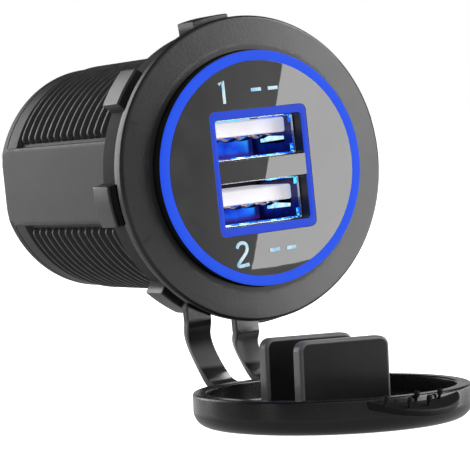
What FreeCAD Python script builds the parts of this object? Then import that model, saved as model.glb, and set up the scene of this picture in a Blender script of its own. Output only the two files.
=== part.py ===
"""Car dual USB charging socket with a hinged rubber dust cap.

Millimetres. The socket's axis is Y: the front, with the ports, faces -Y and
the terminals leave at the rear, towards +Y. +Z is up and +X is to the right
as the front is seen. The origin is on the axis in the panel seat plane, where
the rubber ring's rear face meets the panel.
"""
import FreeCAD, Part
import math
import os

V = FreeCAD.Vector
AXIS = V(0, 1, 0)

# Clearances
slip = 0.05            # inserts pushed into a recess
fit_gap = 0.1          # pieces that slide into one another
over = 1.0             # cutting shapes run this far past the faces they cut
chord = 1.2            # round corners of turned profiles are cut into chords about this long

# Housing: flange and barrel
flange_width = 3.47    # the flange stands this far out past the barrel
flange_thick = 1.3
flange_round = 0.45
flange_dish = 0.3      # the flange's inner edge stands this far ahead of its rim
works_length = 26.26   # from the shells' backs to the rear cover: coil, cans and blades
barrel_wall = 2.43     # out to the thread's crests; the barrel is plain at that radius
flat_depth = 0.91      # the two side flats lie this far under the crests
land_length = 3.0      # plain land ahead of the rear cover's parting line
land_drop = 0.2        # the land lies this far under the crests

# Ring nut
nut_thick = 3.9
nut_wall = 2.37        # from the nut's bore to its rim
nut_round = 0.25
lug_reach = 1.5        # and from there to the tops of the lugs
lug_count = 8
lug_angle = 16.0
lug_first = 8.0        # middle of the first lug, from the top towards -X
top_angle = 270.0      # where the turned shapes' angles have the top

# Rubber moulding: ring under the flange, two straps and the dust cap
ring_thick = 1.3
ring_inset = 0.5       # the ring's rim lies this far inside the flange's
strap_width = 3.3
strap_thick = 1.15
strap_spacing = 6.6
strap_root_x = -5.8    # middle of the two strap roots
strap_end_x = -1.5     # middle of the two strap ends at the cap
strap_sections = 8
strap_run_in = 1.0     # the strap is level over this length ahead of the cap
strap_lift = 0.04
# How far the strap bows back, and at which share of its drop
strap_bow = ((0.65, 0.14), (1.60, 0.30), (2.35, 0.46), (2.85, 0.62), (3.05, 0.78), (2.65, 0.93))
root_drop = 1.2        # strap roots reach this far under the flange's rim
root_bite = 2.3        # and this far up into the ring
ear_reach = 0.9        # cap's ears, where the straps end, stand this far out
ear_bite = 1.17        # and reach this far into the cap's wall
cap_gap = 0.2          # between the shut cap's wall and the bezel
cap_wall = 1.67
cap_height = 3.9
cap_depth = 2.6
cap_bottom_round = 1.9
cap_edge_round = 0.2
cap_open_x = -1.75     # middle of the open cap's rim
cap_ahead = 0.98       # the open cap's edge stands this far ahead of the seat plane
cap_drop = 7.04        # and its rim this far under the flange's rim
plug_side = 0.2        # from the shell's side wall to the plate's edge
plug_thick = 1.95
plug_reach = 5.7       # how far the plug plates stand out of the rim
plug_corner = 1.2
plug_edge = 0.25
plug_tip_gap = 0.5     # plate tips to the face before the cap is pressed home
rim_gap = 0.8          # rim to the flange when the cap is home
tab_half_width = 6.5
tab_reach = 2.7
tab_thick = 0.85
tab_droop = 17.0
tab_drop = 0.25
tab_turn = 7.0

# Front: bezel, light guide, label and port windows
face_proud = 1.86      # front face ahead of the flange rim
bezel_step = 1.6       # the bezel's rim stands this far out past the bore
bezel_seat = 0.7       # depth of the bezel's seat behind the flange rim
guide_lip = 0.36       # light ring's lip, lies over the bezel's edge
guide_inset = 0.35     # the guide's plate lies this far inside the bezel's rim
guide_thick = 0.9
guide_ring_width = 1.23
bezel_floor = 1.2
bezel_skirt = 5.3
bezel_wall = 1.2
label_thick = 0.25
window_round = 0.4
# Bottom and top of each port's window
window_spans = {"upper": (1.23, 6.23), "lower": (-6.73, -1.37)}
frame_side = 0.68
frame_cap = 0.98
frame_round = 0.8

# USB receptacles
shell_width = 12.2     # clear width inside the metal shell
shell_wall = 0.3
shell_round = 0.45
shell_length = 13.0
tongue_side = 0.55     # from the shell's side wall to the tongue's edge
tongue_thick = 1.84
tongue_tops = {"upper": 5.87, "lower": -2.39}
tongue_chamfer = 0.2
tongue_setback = 0.9   # shell mouth to the tip of the tongue
socket_block = 3.5     # plastic block at the back of the shell
contact_width = 1.0
contact_thick = 0.15
contact_xs = (-3.5, -1.0, 1.0, 3.5)
finger_length = 5.9    # spring window in each side wall of the shell
finger_height = 0.9
finger_setback = 2.1
finger_z = -0.6
leg_width = 1.4
leg_setbacks = {"upper": (3.0, 8.0), "lower": (5.5, 10.5)}    # shell mouth to its board legs

# Circuit board and what stands on it
board_thick = 1.6
board_margin = 0.3     # from the lamps to the board's sides
board_gap = 0.7        # from there to the bezel's skirt
board_setback = 0.8    # shell mouth to the board's front edge
led_gap = 1.1          # from the shells' side walls to the lamps
led_size = 2.8
led_height = 1.9
pipe_r = 0.9
coil_r = 4.4
coil_gap = 0.3         # least room between the coil and what stands round it
coil_share = 0.7134    # share of the free room, from the contacts to the cans, ahead of the coil
coil_height = 5.2
coil_flange = 0.9
coil_waist = 1.3
winding_drop = 0.3     # the winding lies this far inside the drum's rim
can_r = 3.1
can_height = 6.4
can_x = 5.6
can_gap = 0.4          # from the cans to the blades
can_round = 0.5
chip_x = 5.2
chip_shift = 1.5       # the chips' middle is this far behind the coil's
chip_length = 4.9
chip_width = 3.9
chip_height = 1.5
chip_standoff = 0.1
chip_leg_rows = 4
chip_leg_pitch = 1.27
chip_leg_width = 0.4
chip_leg_reach = 1.0
chip_leg_thick = 0.25

# Rear cover and blade terminals
cover_thick = 1.5
cover_round = 0.4
spigot_depth = 2.5
spigot_wall = 1.2
rest_width = 7.0
rest_height = 5.0
groove_depth = 1.3
blade_width = 6.3
blade_thick = 0.8
blade_x = 6.0
blade_out = 8.2
blade_in = 4.0         # how far the blade runs along the board
blade_chamfer = 0.9
blade_hole_r = 0.8
blade_hole_setback = 2.6

# Radii and widths that follow from these, from the ports outwards
led_x = shell_width / 2 + shell_wall + led_gap + led_size / 2
board_half_width = led_x + led_size / 2 + board_margin
bore_r = board_half_width + board_gap + bezel_wall + fit_gap
crest_r = bore_r + barrel_wall
flat_x = crest_r - flat_depth
land_r = crest_r - land_drop
flange_r = crest_r + flange_width
ring_r = flange_r - ring_inset
nut_r = crest_r + fit_gap + nut_wall
lug_r = nut_r + lug_reach
bezel_r = bore_r + bezel_step
guide_plate_r = bezel_r - guide_inset
cap_r = bezel_r + cap_gap + cap_wall
window_width = shell_width + 2 * slip
tongue_width = shell_width - 2 * tongue_side
plug_width = shell_width - 2 * plug_side

# Places along the axis and round the strap ends
y_seat = 0.0
y_flange_back = y_seat - ring_thick
y_flange_front = y_flange_back - flange_thick
y_face = y_flange_front - face_proud
y_bezel_front = y_face + guide_lip
y_guide_back = y_face + guide_thick
y_floor_back = y_guide_back + bezel_floor
y_bezel_seat = y_flange_front + bezel_seat
y_shell_back = y_floor_back + shell_length
y_cover = y_shell_back + works_length
y_rear = y_cover + cover_thick
y_block = y_shell_back - socket_block
y_land = y_cover - land_length
y_blade = y_cover - spigot_depth - blade_in
can_y = y_blade - can_gap - can_r
coil_first = y_shell_back + contact_width + coil_gap + coil_r
coil_last = can_y - math.sqrt((coil_r + can_r + coil_gap) ** 2 - can_x ** 2)
coil_y = coil_first + coil_share * (coil_last - coil_first)
chip_y = coil_y + chip_shift
port_names = ("upper", "lower")
port_zs = {name: sum(window_spans[name]) / 2 for name in port_names}
port_heights = {name: window_spans[name][1] - window_spans[name][0] for name in port_names}
tongue_floors = {name: tongue_tops[name] - tongue_thick for name in port_names}
frame_z = (window_spans["upper"][1] + window_spans["lower"][0]) / 2
frame_width = window_width + 2 * frame_side
frame_height = window_spans["upper"][1] - window_spans["lower"][0] + 2 * frame_cap
bar_z = (window_spans["upper"][0] + window_spans["lower"][1]) / 2
bar_height = window_spans["upper"][0] - window_spans["lower"][1]
y_strap = y_seat - strap_thick / 2 - slip
cap_open_y = y_seat - cap_ahead - cap_r
cap_open_z = -flange_r - cap_drop
y_ear = cap_open_y + cap_r + ear_reach
z_ear = cap_open_z - strap_thick / 2 - cap_edge_round
board_top = bar_z + board_thick / 2
board_floor = bar_z - board_thick / 2
y_board = y_floor_back + board_setback
y_board_end = y_cover - spigot_depth + groove_depth - fit_gap
led_z = board_top + led_height / 2

# The cap's hinge: the open cap is the closed one turned by a quarter
hinge_tilt = math.atan(cap_open_x / cap_open_z)
hinge_axis = V(math.cos(hinge_tilt), 0, -math.sin(hinge_tilt))
y_rim_shut = y_face - plug_tip_gap - plug_reach
y_rim_home = y_flange_front - rim_gap
press_travel = y_rim_home - y_rim_shut
open_depth = math.hypot(cap_open_x, cap_open_z)
hinge_depth = (open_depth - cap_open_y + y_rim_shut) / 2
hinge_y = cap_open_y + hinge_depth
hinge_point = V(-hinge_depth * math.sin(hinge_tilt), hinge_y, -hinge_depth * math.cos(hinge_tilt))


def corner_edges(points, chords=False):
    """Edges of a closed outline of (x, y, radius) corners, rounded by tangent arcs or their chords."""
    spans = []
    count = len(points)
    for i in range(count):
        here = V(points[i][0], points[i][1], 0)
        radius = points[i][2]
        before = V(points[i - 1][0], points[i - 1][1], 0) - here
        after = V(points[(i + 1) % count][0], points[(i + 1) % count][1], 0) - here
        before.normalize()
        after.normalize()
        if radius <= 0:
            spans.append((here, None, here))
            continue
        half = before.getAngle(after) / 2
        trim = radius / math.tan(half)
        middle = before + after
        middle.normalize()
        centre = here + middle * (radius / math.sin(half))
        spans.append((here + before * trim, centre - middle * radius, here + after * trim))
    edges = []
    for i in range(count):
        start, middle, end = spans[i]
        if middle is not None:
            arc = Part.Arc(start, middle, end).toShape()
            if chords:
                stops = arc.discretize(2 + int(arc.Length / chord))
                edges += [Part.LineSegment(a, b).toShape() for a, b in zip(stops, stops[1:])]
            else:
                edges.append(arc)
        following = spans[(i + 1) % count][0]
        if end.distanceToPoint(following) > 1e-6:
            edges.append(Part.LineSegment(end, following).toShape())
    return edges


def outline(points, chords=False):
    """Face in the XY plane from (x, y) or (x, y, radius) corners."""
    corners = [p if len(p) == 3 else (p[0], p[1], 0.0) for p in points]
    return Part.Face(Part.Wire(Part.__sortEdges__(corner_edges(corners, chords))))


def turned(points, start=0.0, sweep=360.0):
    """Solid of revolution about Y from (radius, y) corners, angles from +X towards -Z."""
    face = outline(points, chords=True)
    if start:
        face.rotate(V(0, 0, 0), AXIS, start)
    return face.revolve(V(0, 0, 0), AXIS, sweep)


def block(x0, x1, y0, y1, z0, z1):
    """Box between two corners."""
    return Part.makeBox(x1 - x0, y1 - y0, z1 - z0, V(x0, y0, z0))


def disc(radius, y0, y1, x=0.0, z=0.0):
    """Cylinder along Y."""
    return Part.makeCylinder(radius, y1 - y0, V(x, y0, z), AXIS)


def slab(width, height, radius, y0, y1, z_mid):
    """Rectangle with rounded corners, centred on X = 0, carried along Y."""
    corners = [(-width / 2, -height / 2, radius), (width / 2, -height / 2, radius)]
    corners += [(width / 2, height / 2, radius), (-width / 2, height / 2, radius)]
    face = outline(corners)
    face.rotate(V(0, 0, 0), V(1, 0, 0), 90)
    face.translate(V(0, y0, z_mid))
    return face.extrude(V(0, y1 - y0, 0))


def both_flats(y0, y1):
    """The two side blocks that cut the barrel's flats."""
    reach = flange_r + lug_r
    side = block(flat_x, reach, y0, y1, -reach, reach)
    other = block(-reach, -flat_x, y0, y1, -reach, reach)
    return [side, other]


def windows(y0, y1):
    """The two port windows as prisms."""
    return [slab(window_width, port_heights[name], window_round, y0, y1, port_zs[name])
            for name in port_names]


def make_housing():
    """Flange and barrel in one moulding, with two side flats."""
    counter_r = bezel_r + slip
    points = [(bore_r, y_cover), (land_r, y_cover), (land_r, y_land)]
    points += [(crest_r, y_land - land_drop), (crest_r, y_flange_back)]
    points += [(flange_r, y_flange_back, flange_round / 2), (flange_r, y_flange_front, flange_round)]
    points += [(counter_r, y_flange_front - flange_dish), (counter_r, y_bezel_seat)]
    points += [(bore_r, y_bezel_seat)]
    return turned(points).cut(both_flats(y_flange_back, y_rear))


def make_ring_nut():
    """Nut round the barrel, with lugs to turn it by."""
    bore = crest_r + fit_gap
    front = y_seat
    back = y_seat + nut_thick
    ring = turned([(nut_r, back, nut_round), (nut_r, front, nut_round), (bore, front), (bore, back)])
    lug = [(bore + nut_round, front), (lug_r, front, nut_round)]
    lug += [(lug_r, back, nut_round), (bore + nut_round, back)]
    lugs = []
    for i in range(lug_count):
        middle = top_angle - lug_first - i * 360.0 / lug_count
        lugs.append(turned(lug, middle - lug_angle / 2, lug_angle))
    return ring.multiFuse(lugs).removeSplitter()


def strap_xs(middle):
    """X of the two strap centre lines about a middle."""
    return (middle - strap_spacing / 2, middle + strap_spacing / 2)


def root_z(x):
    """Height of a strap's root, just under the flange's rim at that X."""
    return -math.sqrt(flange_r ** 2 - x ** 2) - root_drop


def make_cap_ring():
    """Rubber ring under the flange, with the two strap roots on its lower edge."""
    inner = crest_r + fit_gap
    ring = turned([(inner, y_flange_back), (ring_r, y_flange_back), (ring_r, y_seat), (inner, y_seat)])
    roots = []
    for x in strap_xs(strap_root_x):
        half = strap_width / 2
        top = -math.sqrt(ring_r ** 2 - x ** 2) + root_bite
        roots.append(block(x - half, x + half, y_strap - strap_thick / 2,
                           y_strap + strap_thick / 2, root_z(x), top))
    return ring.multiFuse(roots).removeSplitter()


def strap_route(top):
    """Centre line of a strap in the YZ plane: out of the ring, back in a bow, to the cap."""
    drop = top - z_ear
    start = V(0, y_strap, top)
    end = V(0, y_ear, z_ear)
    points = [start]
    points += [V(0, y_strap + back, top - share * drop) for back, share in strap_bow]
    points += [end + V(0, strap_run_in, strap_lift), end]
    curve = Part.BSplineCurve()
    curve.interpolate(points, InitialTangent=V(0, 0.2, -1), FinalTangent=V(0, -1, 0.0))
    return curve


def make_straps():
    """Two flat straps as lofts through rectangles square to their routes."""
    straps = []
    ends = zip(strap_xs(strap_root_x), strap_xs(strap_end_x))
    for x_top, x_end in ends:
        route = strap_route(root_z(x_top))
        first = route.FirstParameter
        span = route.LastParameter - first
        wires = []
        for i in range(strap_sections + 1):
            share = i / strap_sections
            point = route.value(first + span * share)
            along = route.tangent(first + span * share)[0]
            if i == 0:
                along = V(0, 0, -1)
            if i == strap_sections:
                along = V(0, -1, 0)
            across = V(0, -along.z, along.y)
            blend = share * share * (3 - 2 * share)
            point.x = x_top + (x_end - x_top) * blend
            side = V(strap_width / 2, 0, 0)
            deep = across * (strap_thick / 2)
            corners = [point - side - deep, point + side - deep, point + side + deep, point - side + deep]
            wires.append(Part.makePolygon(corners + corners[:1]))
        straps.append(Part.makeLoft(wires, True, True))
    return Part.makeCompound(straps)


def make_plug(name, y_rim):
    """One plug plate: it fills the gap under its port's tongue, corners rounded, edges bevelled."""
    half = plug_width / 2
    tip = y_rim + plug_reach
    z_mid = (window_spans[name][0] + tongue_floors[name] - contact_thick) / 2
    face = outline([(-half, y_rim - cap_depth), (half, y_rim - cap_depth),
                    (half, tip, plug_corner), (-half, tip, plug_corner)])
    face.translate(V(0, 0, z_mid - plug_thick / 2))
    plate = face.extrude(V(0, 0, plug_thick))
    edges = []
    for edge in plate.Edges:
        level = edge.BoundBox.ZLength < 1e-6
        if level and edge.BoundBox.YMax > y_rim - cap_depth + 1e-6:
            edges.append(edge)
    return plate.makeChamfer(plug_edge, edges)


def make_tab(y_rim):
    """Grip tab on the cap's rim."""
    root = math.sqrt(cap_r ** 2 - tab_half_width ** 2)
    inner = root - cap_wall / 2
    left = V(-tab_half_width, 0, root)
    right = V(tab_half_width, 0, root)
    peak = V(0, 0, cap_r + tab_reach)
    corners = [right, V(tab_half_width, 0, inner), V(-tab_half_width, 0, inner), left]
    sides = [Part.LineSegment(a, b).toShape() for a, b in zip(corners, corners[1:])]
    wire = Part.Wire([Part.Arc(left, peak, right).toShape()] + sides)
    tab = Part.Face(wire).extrude(V(0, -tab_thick, 0))
    tab.rotate(V(0, 0, root), V(1, 0, 0), tab_droop)
    tab.translate(V(0, y_rim - tab_drop, 0))
    tab.rotate(V(0, 0, 0), AXIS, tab_turn)
    return tab.cut(disc(cap_r - cap_wall / 2, y_rim - cap_height - tab_reach, y_rim + cap_height))


def make_dust_cap():
    """Round rubber cap with two plug plates, a grip tab and ears for the straps."""
    y = y_rim_shut
    inner = cap_r - cap_wall
    edge = cap_edge_round
    cup = turned([(0, y - cap_height), (cap_r, y - cap_height, cap_bottom_round), (cap_r, y, edge),
                  (inner, y, edge), (inner, y - cap_depth), (0, y - cap_depth)])
    extras = [make_plug(name, y) for name in port_names]
    extras.append(make_tab(y))
    cap = cup.multiFuse(extras)
    cap.rotate(hinge_point, hinge_axis, 90)
    ears = []
    for x in strap_xs(strap_end_x):
        half = strap_width / 2
        ears.append(block(x - half, x + half, cap_open_y + cap_r - ear_bite, y_ear,
                          z_ear - strap_thick / 2, z_ear + strap_thick / 2))
    return cap.multiFuse(ears)


def make_bezel():
    """Black front insert that carries the light guide and the ports."""
    skirt_r = bore_r - fit_gap
    recess_r = guide_plate_r + slip
    inner = skirt_r - bezel_wall
    points = [(0, y_guide_back), (recess_r, y_guide_back), (recess_r, y_bezel_front)]
    points += [(bezel_r, y_bezel_front), (bezel_r, y_bezel_seat), (skirt_r, y_bezel_seat)]
    points += [(skirt_r, y_bezel_seat + bezel_skirt), (inner, y_bezel_seat + bezel_skirt)]
    points += [(inner, y_floor_back), (0, y_floor_back)]
    bezel = turned(points)
    cuts = windows(y_guide_back - bezel_floor, y_floor_back + bezel_floor)
    for x in (-led_x, led_x):
        cuts.append(disc(pipe_r + fit_gap, y_guide_back - bezel_floor, y_floor_back + bezel_floor,
                         x, led_z))
    return bezel.cut(cuts)


def make_light_guide():
    """Clear blue-lit plate: outer ring, port frame and two pipes back to the lamps."""
    label_r = bezel_r - guide_ring_width
    back = y_guide_back
    shelf = y_face + label_thick
    ring_r_out = bezel_r - slip
    points = [(0, shelf), (label_r, shelf), (label_r, y_face), (ring_r_out, y_face)]
    points += [(ring_r_out, y_bezel_front), (guide_plate_r, y_bezel_front), (guide_plate_r, back)]
    points += [(0, back)]
    plate = turned(points)
    frame = slab(frame_width, frame_height, frame_round, y_face, shelf, frame_z)
    pipes = [disc(pipe_r, back, y_board + slip, x, led_z) for x in (-led_x, led_x)]
    guide = plate.multiFuse([frame] + pipes)
    bar = slab(window_width, bar_height, 0.0, y_face - guide_lip, shelf, bar_z)
    cuts = windows(y_face - guide_lip, back + guide_lip)
    return guide.cut(cuts + [bar])


def make_face_label():
    """Glossy printed label: the round panel and the bar between the ports."""
    shelf = y_face + label_thick
    panel = disc(bezel_r - guide_ring_width - slip, y_face, shelf)
    hole = slab(frame_width + 2 * slip, frame_height + 2 * slip, frame_round, y_face, shelf, frame_z)
    bar = slab(window_width - 2 * slip, bar_height, 0.0, y_face, shelf, bar_z)
    return Part.makeCompound([panel.cut(hole), bar])


def leg_blocks(name, grow):
    """The shell's four legs through the board, grown for the holes they need."""
    if name == "upper":
        low = board_floor - grow
        high = window_spans[name][0]
    else:
        low = window_spans[name][1]
        high = board_top + grow
    blocks = []
    for setback in leg_setbacks[name]:
        y = y_floor_back + setback
        for side in (-1, 1):
            x = side * (shell_width + shell_wall) / 2
            half = shell_wall / 2 + grow
            blocks.append(block(x - half, x + half, y - leg_width / 2 - grow,
                                y + leg_width / 2 + grow, low, high))
    return blocks


def make_shell(name):
    """Metal shell of one receptacle, with side spring windows and board legs."""
    z = port_zs[name]
    y0 = y_floor_back
    y1 = y_shell_back
    outer_width = shell_width + 2 * shell_wall
    height = port_heights[name]
    skin = slab(outer_width, height + 2 * shell_wall, shell_round, y0, y1, z)
    hollow = slab(shell_width, height, 0.0, y0 - over, y1 + over, z)
    start = y0 + finger_setback
    low = z + finger_z - finger_height / 2
    slot = block(-outer_width, outer_width, start, start + finger_length, low, low + finger_height)
    return skin.multiFuse(leg_blocks(name, 0.0)).cut([hollow, slot])


def contact_strip(name, x):
    """One contact: a strip under the tongue and a tail to the board."""
    z = tongue_floors[name]
    y0 = y_floor_back + tongue_setback + contact_width
    y1 = y_shell_back + contact_width
    half = contact_width / 2
    strip = block(x - half, x + half, y0, y1, z - contact_thick, z)
    if name == "upper":
        tail = block(x - half, x + half, y1 - 2 * contact_thick, y1, board_top, z)
    else:
        tail = block(x - half, x + half, y1 - 2 * contact_thick, y1, z - contact_thick, board_floor)
    return strip.fuse(tail)


def make_contacts(name):
    """The four contacts of one receptacle."""
    return Part.makeCompound([contact_strip(name, x) for x in contact_xs])


def make_tongue(name):
    """White tongue with the plastic block that closes the shell's back."""
    half = tongue_width / 2
    y0 = y_floor_back + tongue_setback
    y1 = y_shell_back
    tongue = block(-half, half, y0, y_block, tongue_floors[name], tongue_tops[name])
    tip = [e for e in tongue.Edges if e.BoundBox.YMax < y0 + 1e-6]
    tongue = tongue.makeChamfer(tongue_chamfer, tip)
    back = slab(shell_width - 2 * slip, port_heights[name] - 2 * slip, 0.0, y_block, y1, port_zs[name])
    body = tongue.fuse(back)
    return body.cut([contact_strip(name, x) for x in contact_xs])


def make_board():
    """Board along the middle plane between the two receptacles."""
    board = block(-board_half_width, board_half_width, y_board, y_cover - spigot_depth,
                  board_floor, board_top)
    neck = rest_width / 2 - fit_gap
    tail = block(-neck, neck, y_cover - spigot_depth - over, y_board_end, board_floor, board_top)
    holes = []
    for name in port_names:
        holes += leg_blocks(name, fit_gap)
    return board.fuse(tail).removeSplitter().cut(holes)


def make_leds():
    """Blue lamps on the board's front edge, behind the light pipes."""
    lamps = []
    for x in (-led_x, led_x):
        half = led_size / 2
        y0 = y_board + fit_gap
        lamp = block(x - half, x + half, y0, y0 + led_size, board_top, board_top + led_height)
        lamps.append(lamp)
    return Part.makeCompound(lamps)


def make_coil_core():
    """Drum core of the inductor, standing on the board."""
    waist = coil_r - coil_waist
    points = [(0, 0), (coil_r, 0), (coil_r, coil_flange), (waist, coil_flange)]
    points += [(waist, coil_height - coil_flange), (coil_r, coil_height - coil_flange)]
    points += [(coil_r, coil_height), (0, coil_height)]
    core = turned(points)
    core.rotate(V(0, 0, 0), V(1, 0, 0), 90)
    core.translate(V(0, coil_y, board_top))
    return core


def make_coil_winding():
    """Copper winding in the drum's waist."""
    inner = coil_r - coil_waist + slip
    outer = coil_r - winding_drop
    top = coil_height - coil_flange - slip
    winding = turned([(inner, coil_flange + slip), (outer, coil_flange + slip), (outer, top), (inner, top)])
    winding.rotate(V(0, 0, 0), V(1, 0, 0), 90)
    winding.translate(V(0, coil_y, board_top))
    return winding


def make_capacitors():
    """Two round capacitors standing on the board."""
    cans = []
    for x in (-can_x, can_x):
        can = turned([(0, 0), (can_r, 0), (can_r, can_height, can_round), (0, can_height)])
        can.rotate(V(0, 0, 0), V(1, 0, 0), 90)
        can.translate(V(x, can_y, board_top))
        cans.append(can)
    return Part.makeCompound(cans)


def make_chips():
    """Two charging control chips under the board, each with legs on both sides."""
    chips = []
    for x in (-chip_x, chip_x):
        half = chip_width / 2
        reach = half + chip_leg_reach
        top = board_floor
        body = block(x - half, x + half, chip_y - chip_length / 2, chip_y + chip_length / 2,
                     top - chip_height, top - chip_standoff)
        legs = []
        for i in range(chip_leg_rows):
            y = chip_y + (i - (chip_leg_rows - 1) / 2) * chip_leg_pitch
            legs.append(block(x - reach, x + reach, y - chip_leg_width / 2, y + chip_leg_width / 2,
                              top - chip_leg_thick, top))
        chips.append(body.multiFuse(legs))
    return Part.makeCompound(chips)


def blade(x, grow=0.0):
    """A blade terminal's bar through the rear cover."""
    half = blade_thick / 2 + grow
    low = bar_z - blade_width / 2 - grow
    high = bar_z + blade_width / 2 + grow
    return block(x - half, x + half, y_blade, y_rear + blade_out, low, high)


def make_terminal(x):
    """Blade terminal that straddles the board and leaves through the rear cover."""
    bar = blade(x)
    tip = []
    for edge in bar.Edges:
        at_tip = edge.BoundBox.YMin > y_rear + blade_out - 1e-6
        if at_tip and edge.BoundBox.XLength > blade_thick / 2:
            tip.append(edge)
    bar = bar.makeChamfer(blade_chamfer, tip)
    hole = Part.makeCylinder(blade_hole_r, 4 * blade_thick,
                             V(x - 2 * blade_thick, y_rear + blade_out - blade_hole_setback, bar_z),
                             V(1, 0, 0))
    slot = block(x - blade_thick, x + blade_thick, y_cover - spigot_depth - 2 * blade_in,
                 y_cover - spigot_depth, board_floor, board_top)
    return bar.cut([hole, slot])


def make_rear_cover():
    """Round rear cover with a spigot, a board rest and slots for the blades."""
    outer = bore_r - fit_gap
    inner = outer - spigot_wall
    front = y_cover - spigot_depth
    points = [(0, y_cover), (inner, y_cover), (inner, front), (outer, front), (outer, y_cover)]
    points += [(land_r, y_cover), (land_r, y_rear, cover_round), (0, y_rear)]
    cover = turned(points)
    half = rest_width / 2
    rest = block(-half, half, front, y_cover, bar_z - rest_height / 2, bar_z + rest_height / 2)
    cover = cover.fuse(rest)
    groove = block(-half - over, half + over, front, front + groove_depth,
                   board_floor - fit_gap, board_top + fit_gap)
    cuts = [groove, blade(blade_x, fit_gap), blade(-blade_x, fit_gap)]
    return cover.cut(cuts + both_flats(y_cover, y_rear))


def export(name, shape):
    """Write one node's solids."""
    if not shape.isValid():
        print("not valid:", name)
    print(name, "solids", len(shape.Solids), "volume", round(shape.Volume, 2))
    shape.exportStep("parts/" + name + ".step")


def main():
    """Build every node."""
    os.makedirs("parts", exist_ok=True)
    export("housing", make_housing())
    export("ring_nut", make_ring_nut())
    export("cap_ring", make_cap_ring())
    export("cap_straps", make_straps())
    export("dust_cap", make_dust_cap())
    export("front_bezel", make_bezel())
    export("light_guide", make_light_guide())
    export("face_label", make_face_label())
    for name in port_names:
        export("usb_shell_" + name, make_shell(name))
        export("usb_tongue_" + name, make_tongue(name))
        export("usb_contacts_" + name, make_contacts(name))
    export("circuit_board", make_board())
    export("blue_leds", make_leds())
    export("inductor_core", make_coil_core())
    export("inductor_winding", make_coil_winding())
    export("capacitors", make_capacitors())
    export("control_chips", make_chips())
    export("positive_terminal", make_terminal(blade_x))
    export("negative_terminal", make_terminal(-blade_x))
    export("rear_cover", make_rear_cover())
    print("hinge point", [round(c, 4) for c in hinge_point], "axis", [round(c, 6) for c in hinge_axis])
    print("press travel", round(press_travel, 4))


main()
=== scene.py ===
"""Dual USB car socket with a rubber dust cap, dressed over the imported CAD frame.

Shapes are worked out in millimetres in the row frame: the socket's axis is Y, the front faces -Y
and +Z is up. Angles round the axis run from +X towards +Z.
"""

import logging
import math
from collections import defaultdict
from collections.abc import Sequence
from dataclasses import dataclass, field
from enum import Enum

import bmesh
import bpy
import numpy as np
from mathutils import Matrix, Vector


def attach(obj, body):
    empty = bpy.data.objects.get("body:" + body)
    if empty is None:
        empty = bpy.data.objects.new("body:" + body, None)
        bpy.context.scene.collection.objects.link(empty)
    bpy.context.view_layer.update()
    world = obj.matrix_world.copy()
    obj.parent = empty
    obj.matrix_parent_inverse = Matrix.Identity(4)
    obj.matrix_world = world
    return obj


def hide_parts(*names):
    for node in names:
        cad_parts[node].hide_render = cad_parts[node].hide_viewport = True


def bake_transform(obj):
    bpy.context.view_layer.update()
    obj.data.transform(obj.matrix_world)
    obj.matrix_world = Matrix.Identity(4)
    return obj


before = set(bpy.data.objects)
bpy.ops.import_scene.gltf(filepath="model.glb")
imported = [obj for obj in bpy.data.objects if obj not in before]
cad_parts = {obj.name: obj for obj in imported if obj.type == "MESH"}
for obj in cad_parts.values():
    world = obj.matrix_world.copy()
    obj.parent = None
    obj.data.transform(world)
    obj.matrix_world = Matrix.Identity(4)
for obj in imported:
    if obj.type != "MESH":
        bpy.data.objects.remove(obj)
log = logging.getLogger("socket")
MM = 0.001
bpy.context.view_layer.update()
# The cap's hinge at rest: a point on its axis, and the axis's direction.
HINGE = (-1.0934, -1.0551, -15.9575)
HINGE_AXIS = (0.997661, 0.0, -0.06836)
Colour = tuple[float, float, float, float]


class Body(Enum):
    """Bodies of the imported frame."""

    SOCKET = "socket"
    STRAPS = "straps"
    CAP = "cap"


# Outlines and grids.


def rounded(corners: Sequence[Sequence[float]], closed: bool = True, step: float = 18.0) -> np.ndarray:
    """Outline whose corners are replaced by tangent arcs.

    Args:
        corners: (a, b) or (a, b, radius) for each corner in order.
        closed: whether the last corner joins the first.
        step: largest turn of an arc between two points, in degrees.

    Returns:
        Array of points, shape (n, 2).
    """
    plan = np.array([(c[0], c[1], c[2] if len(c) > 2 else 0.0) for c in corners], float)
    spots = plan[:, :2]
    points = []
    for i, radius in enumerate(plan[:, 2]):
        here = spots[i]
        if radius <= 0 or (not closed and i in (0, len(plan) - 1)):
            points.append(here[None])
            continue
        before = spots[i - 1] - here
        after = spots[(i + 1) % len(plan)] - here
        room = min(np.linalg.norm(before), np.linalg.norm(after)) * 0.49
        before /= np.linalg.norm(before)
        after /= np.linalg.norm(after)
        half = 0.5 * math.acos(float(np.clip(before @ after, -1, 1)))
        trim = min(radius / math.tan(half), room)
        size = trim * math.tan(half)
        middle = (before + after) / np.linalg.norm(before + after)
        centre = here + middle * size / math.sin(half)
        first = here + before * trim - centre
        last = here + after * trim - centre
        start = math.atan2(first[1], first[0])
        turn = (math.atan2(last[1], last[0]) - start + math.pi) % (2 * math.pi) - math.pi
        count = int(abs(turn) / math.radians(step)) + 3
        angles = start + turn * np.linspace(0, 1, count)
        points.append(centre + size * np.stack([np.cos(angles), np.sin(angles)], 1))
    return np.concatenate(points)


def box_loop(width: float, height: float, radius: float, x: float = 0.0, z: float = 0.0,
             step: float = 15.0) -> np.ndarray:
    """Counter-clockwise rounded rectangle.

    Args:
        width: size along X.
        height: size along Z.
        radius: corner radius.
        x: middle along X.
        z: middle along Z.
        step: largest turn between two points of a corner, in degrees.

    Returns:
        Array of points, shape (n, 2).
    """
    a, b = width / 2, height / 2
    loop = rounded([(-a, -b, radius), (a, -b, radius), (a, b, radius), (-a, b, radius)], step=step)
    return loop + np.array([x, z])


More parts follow.
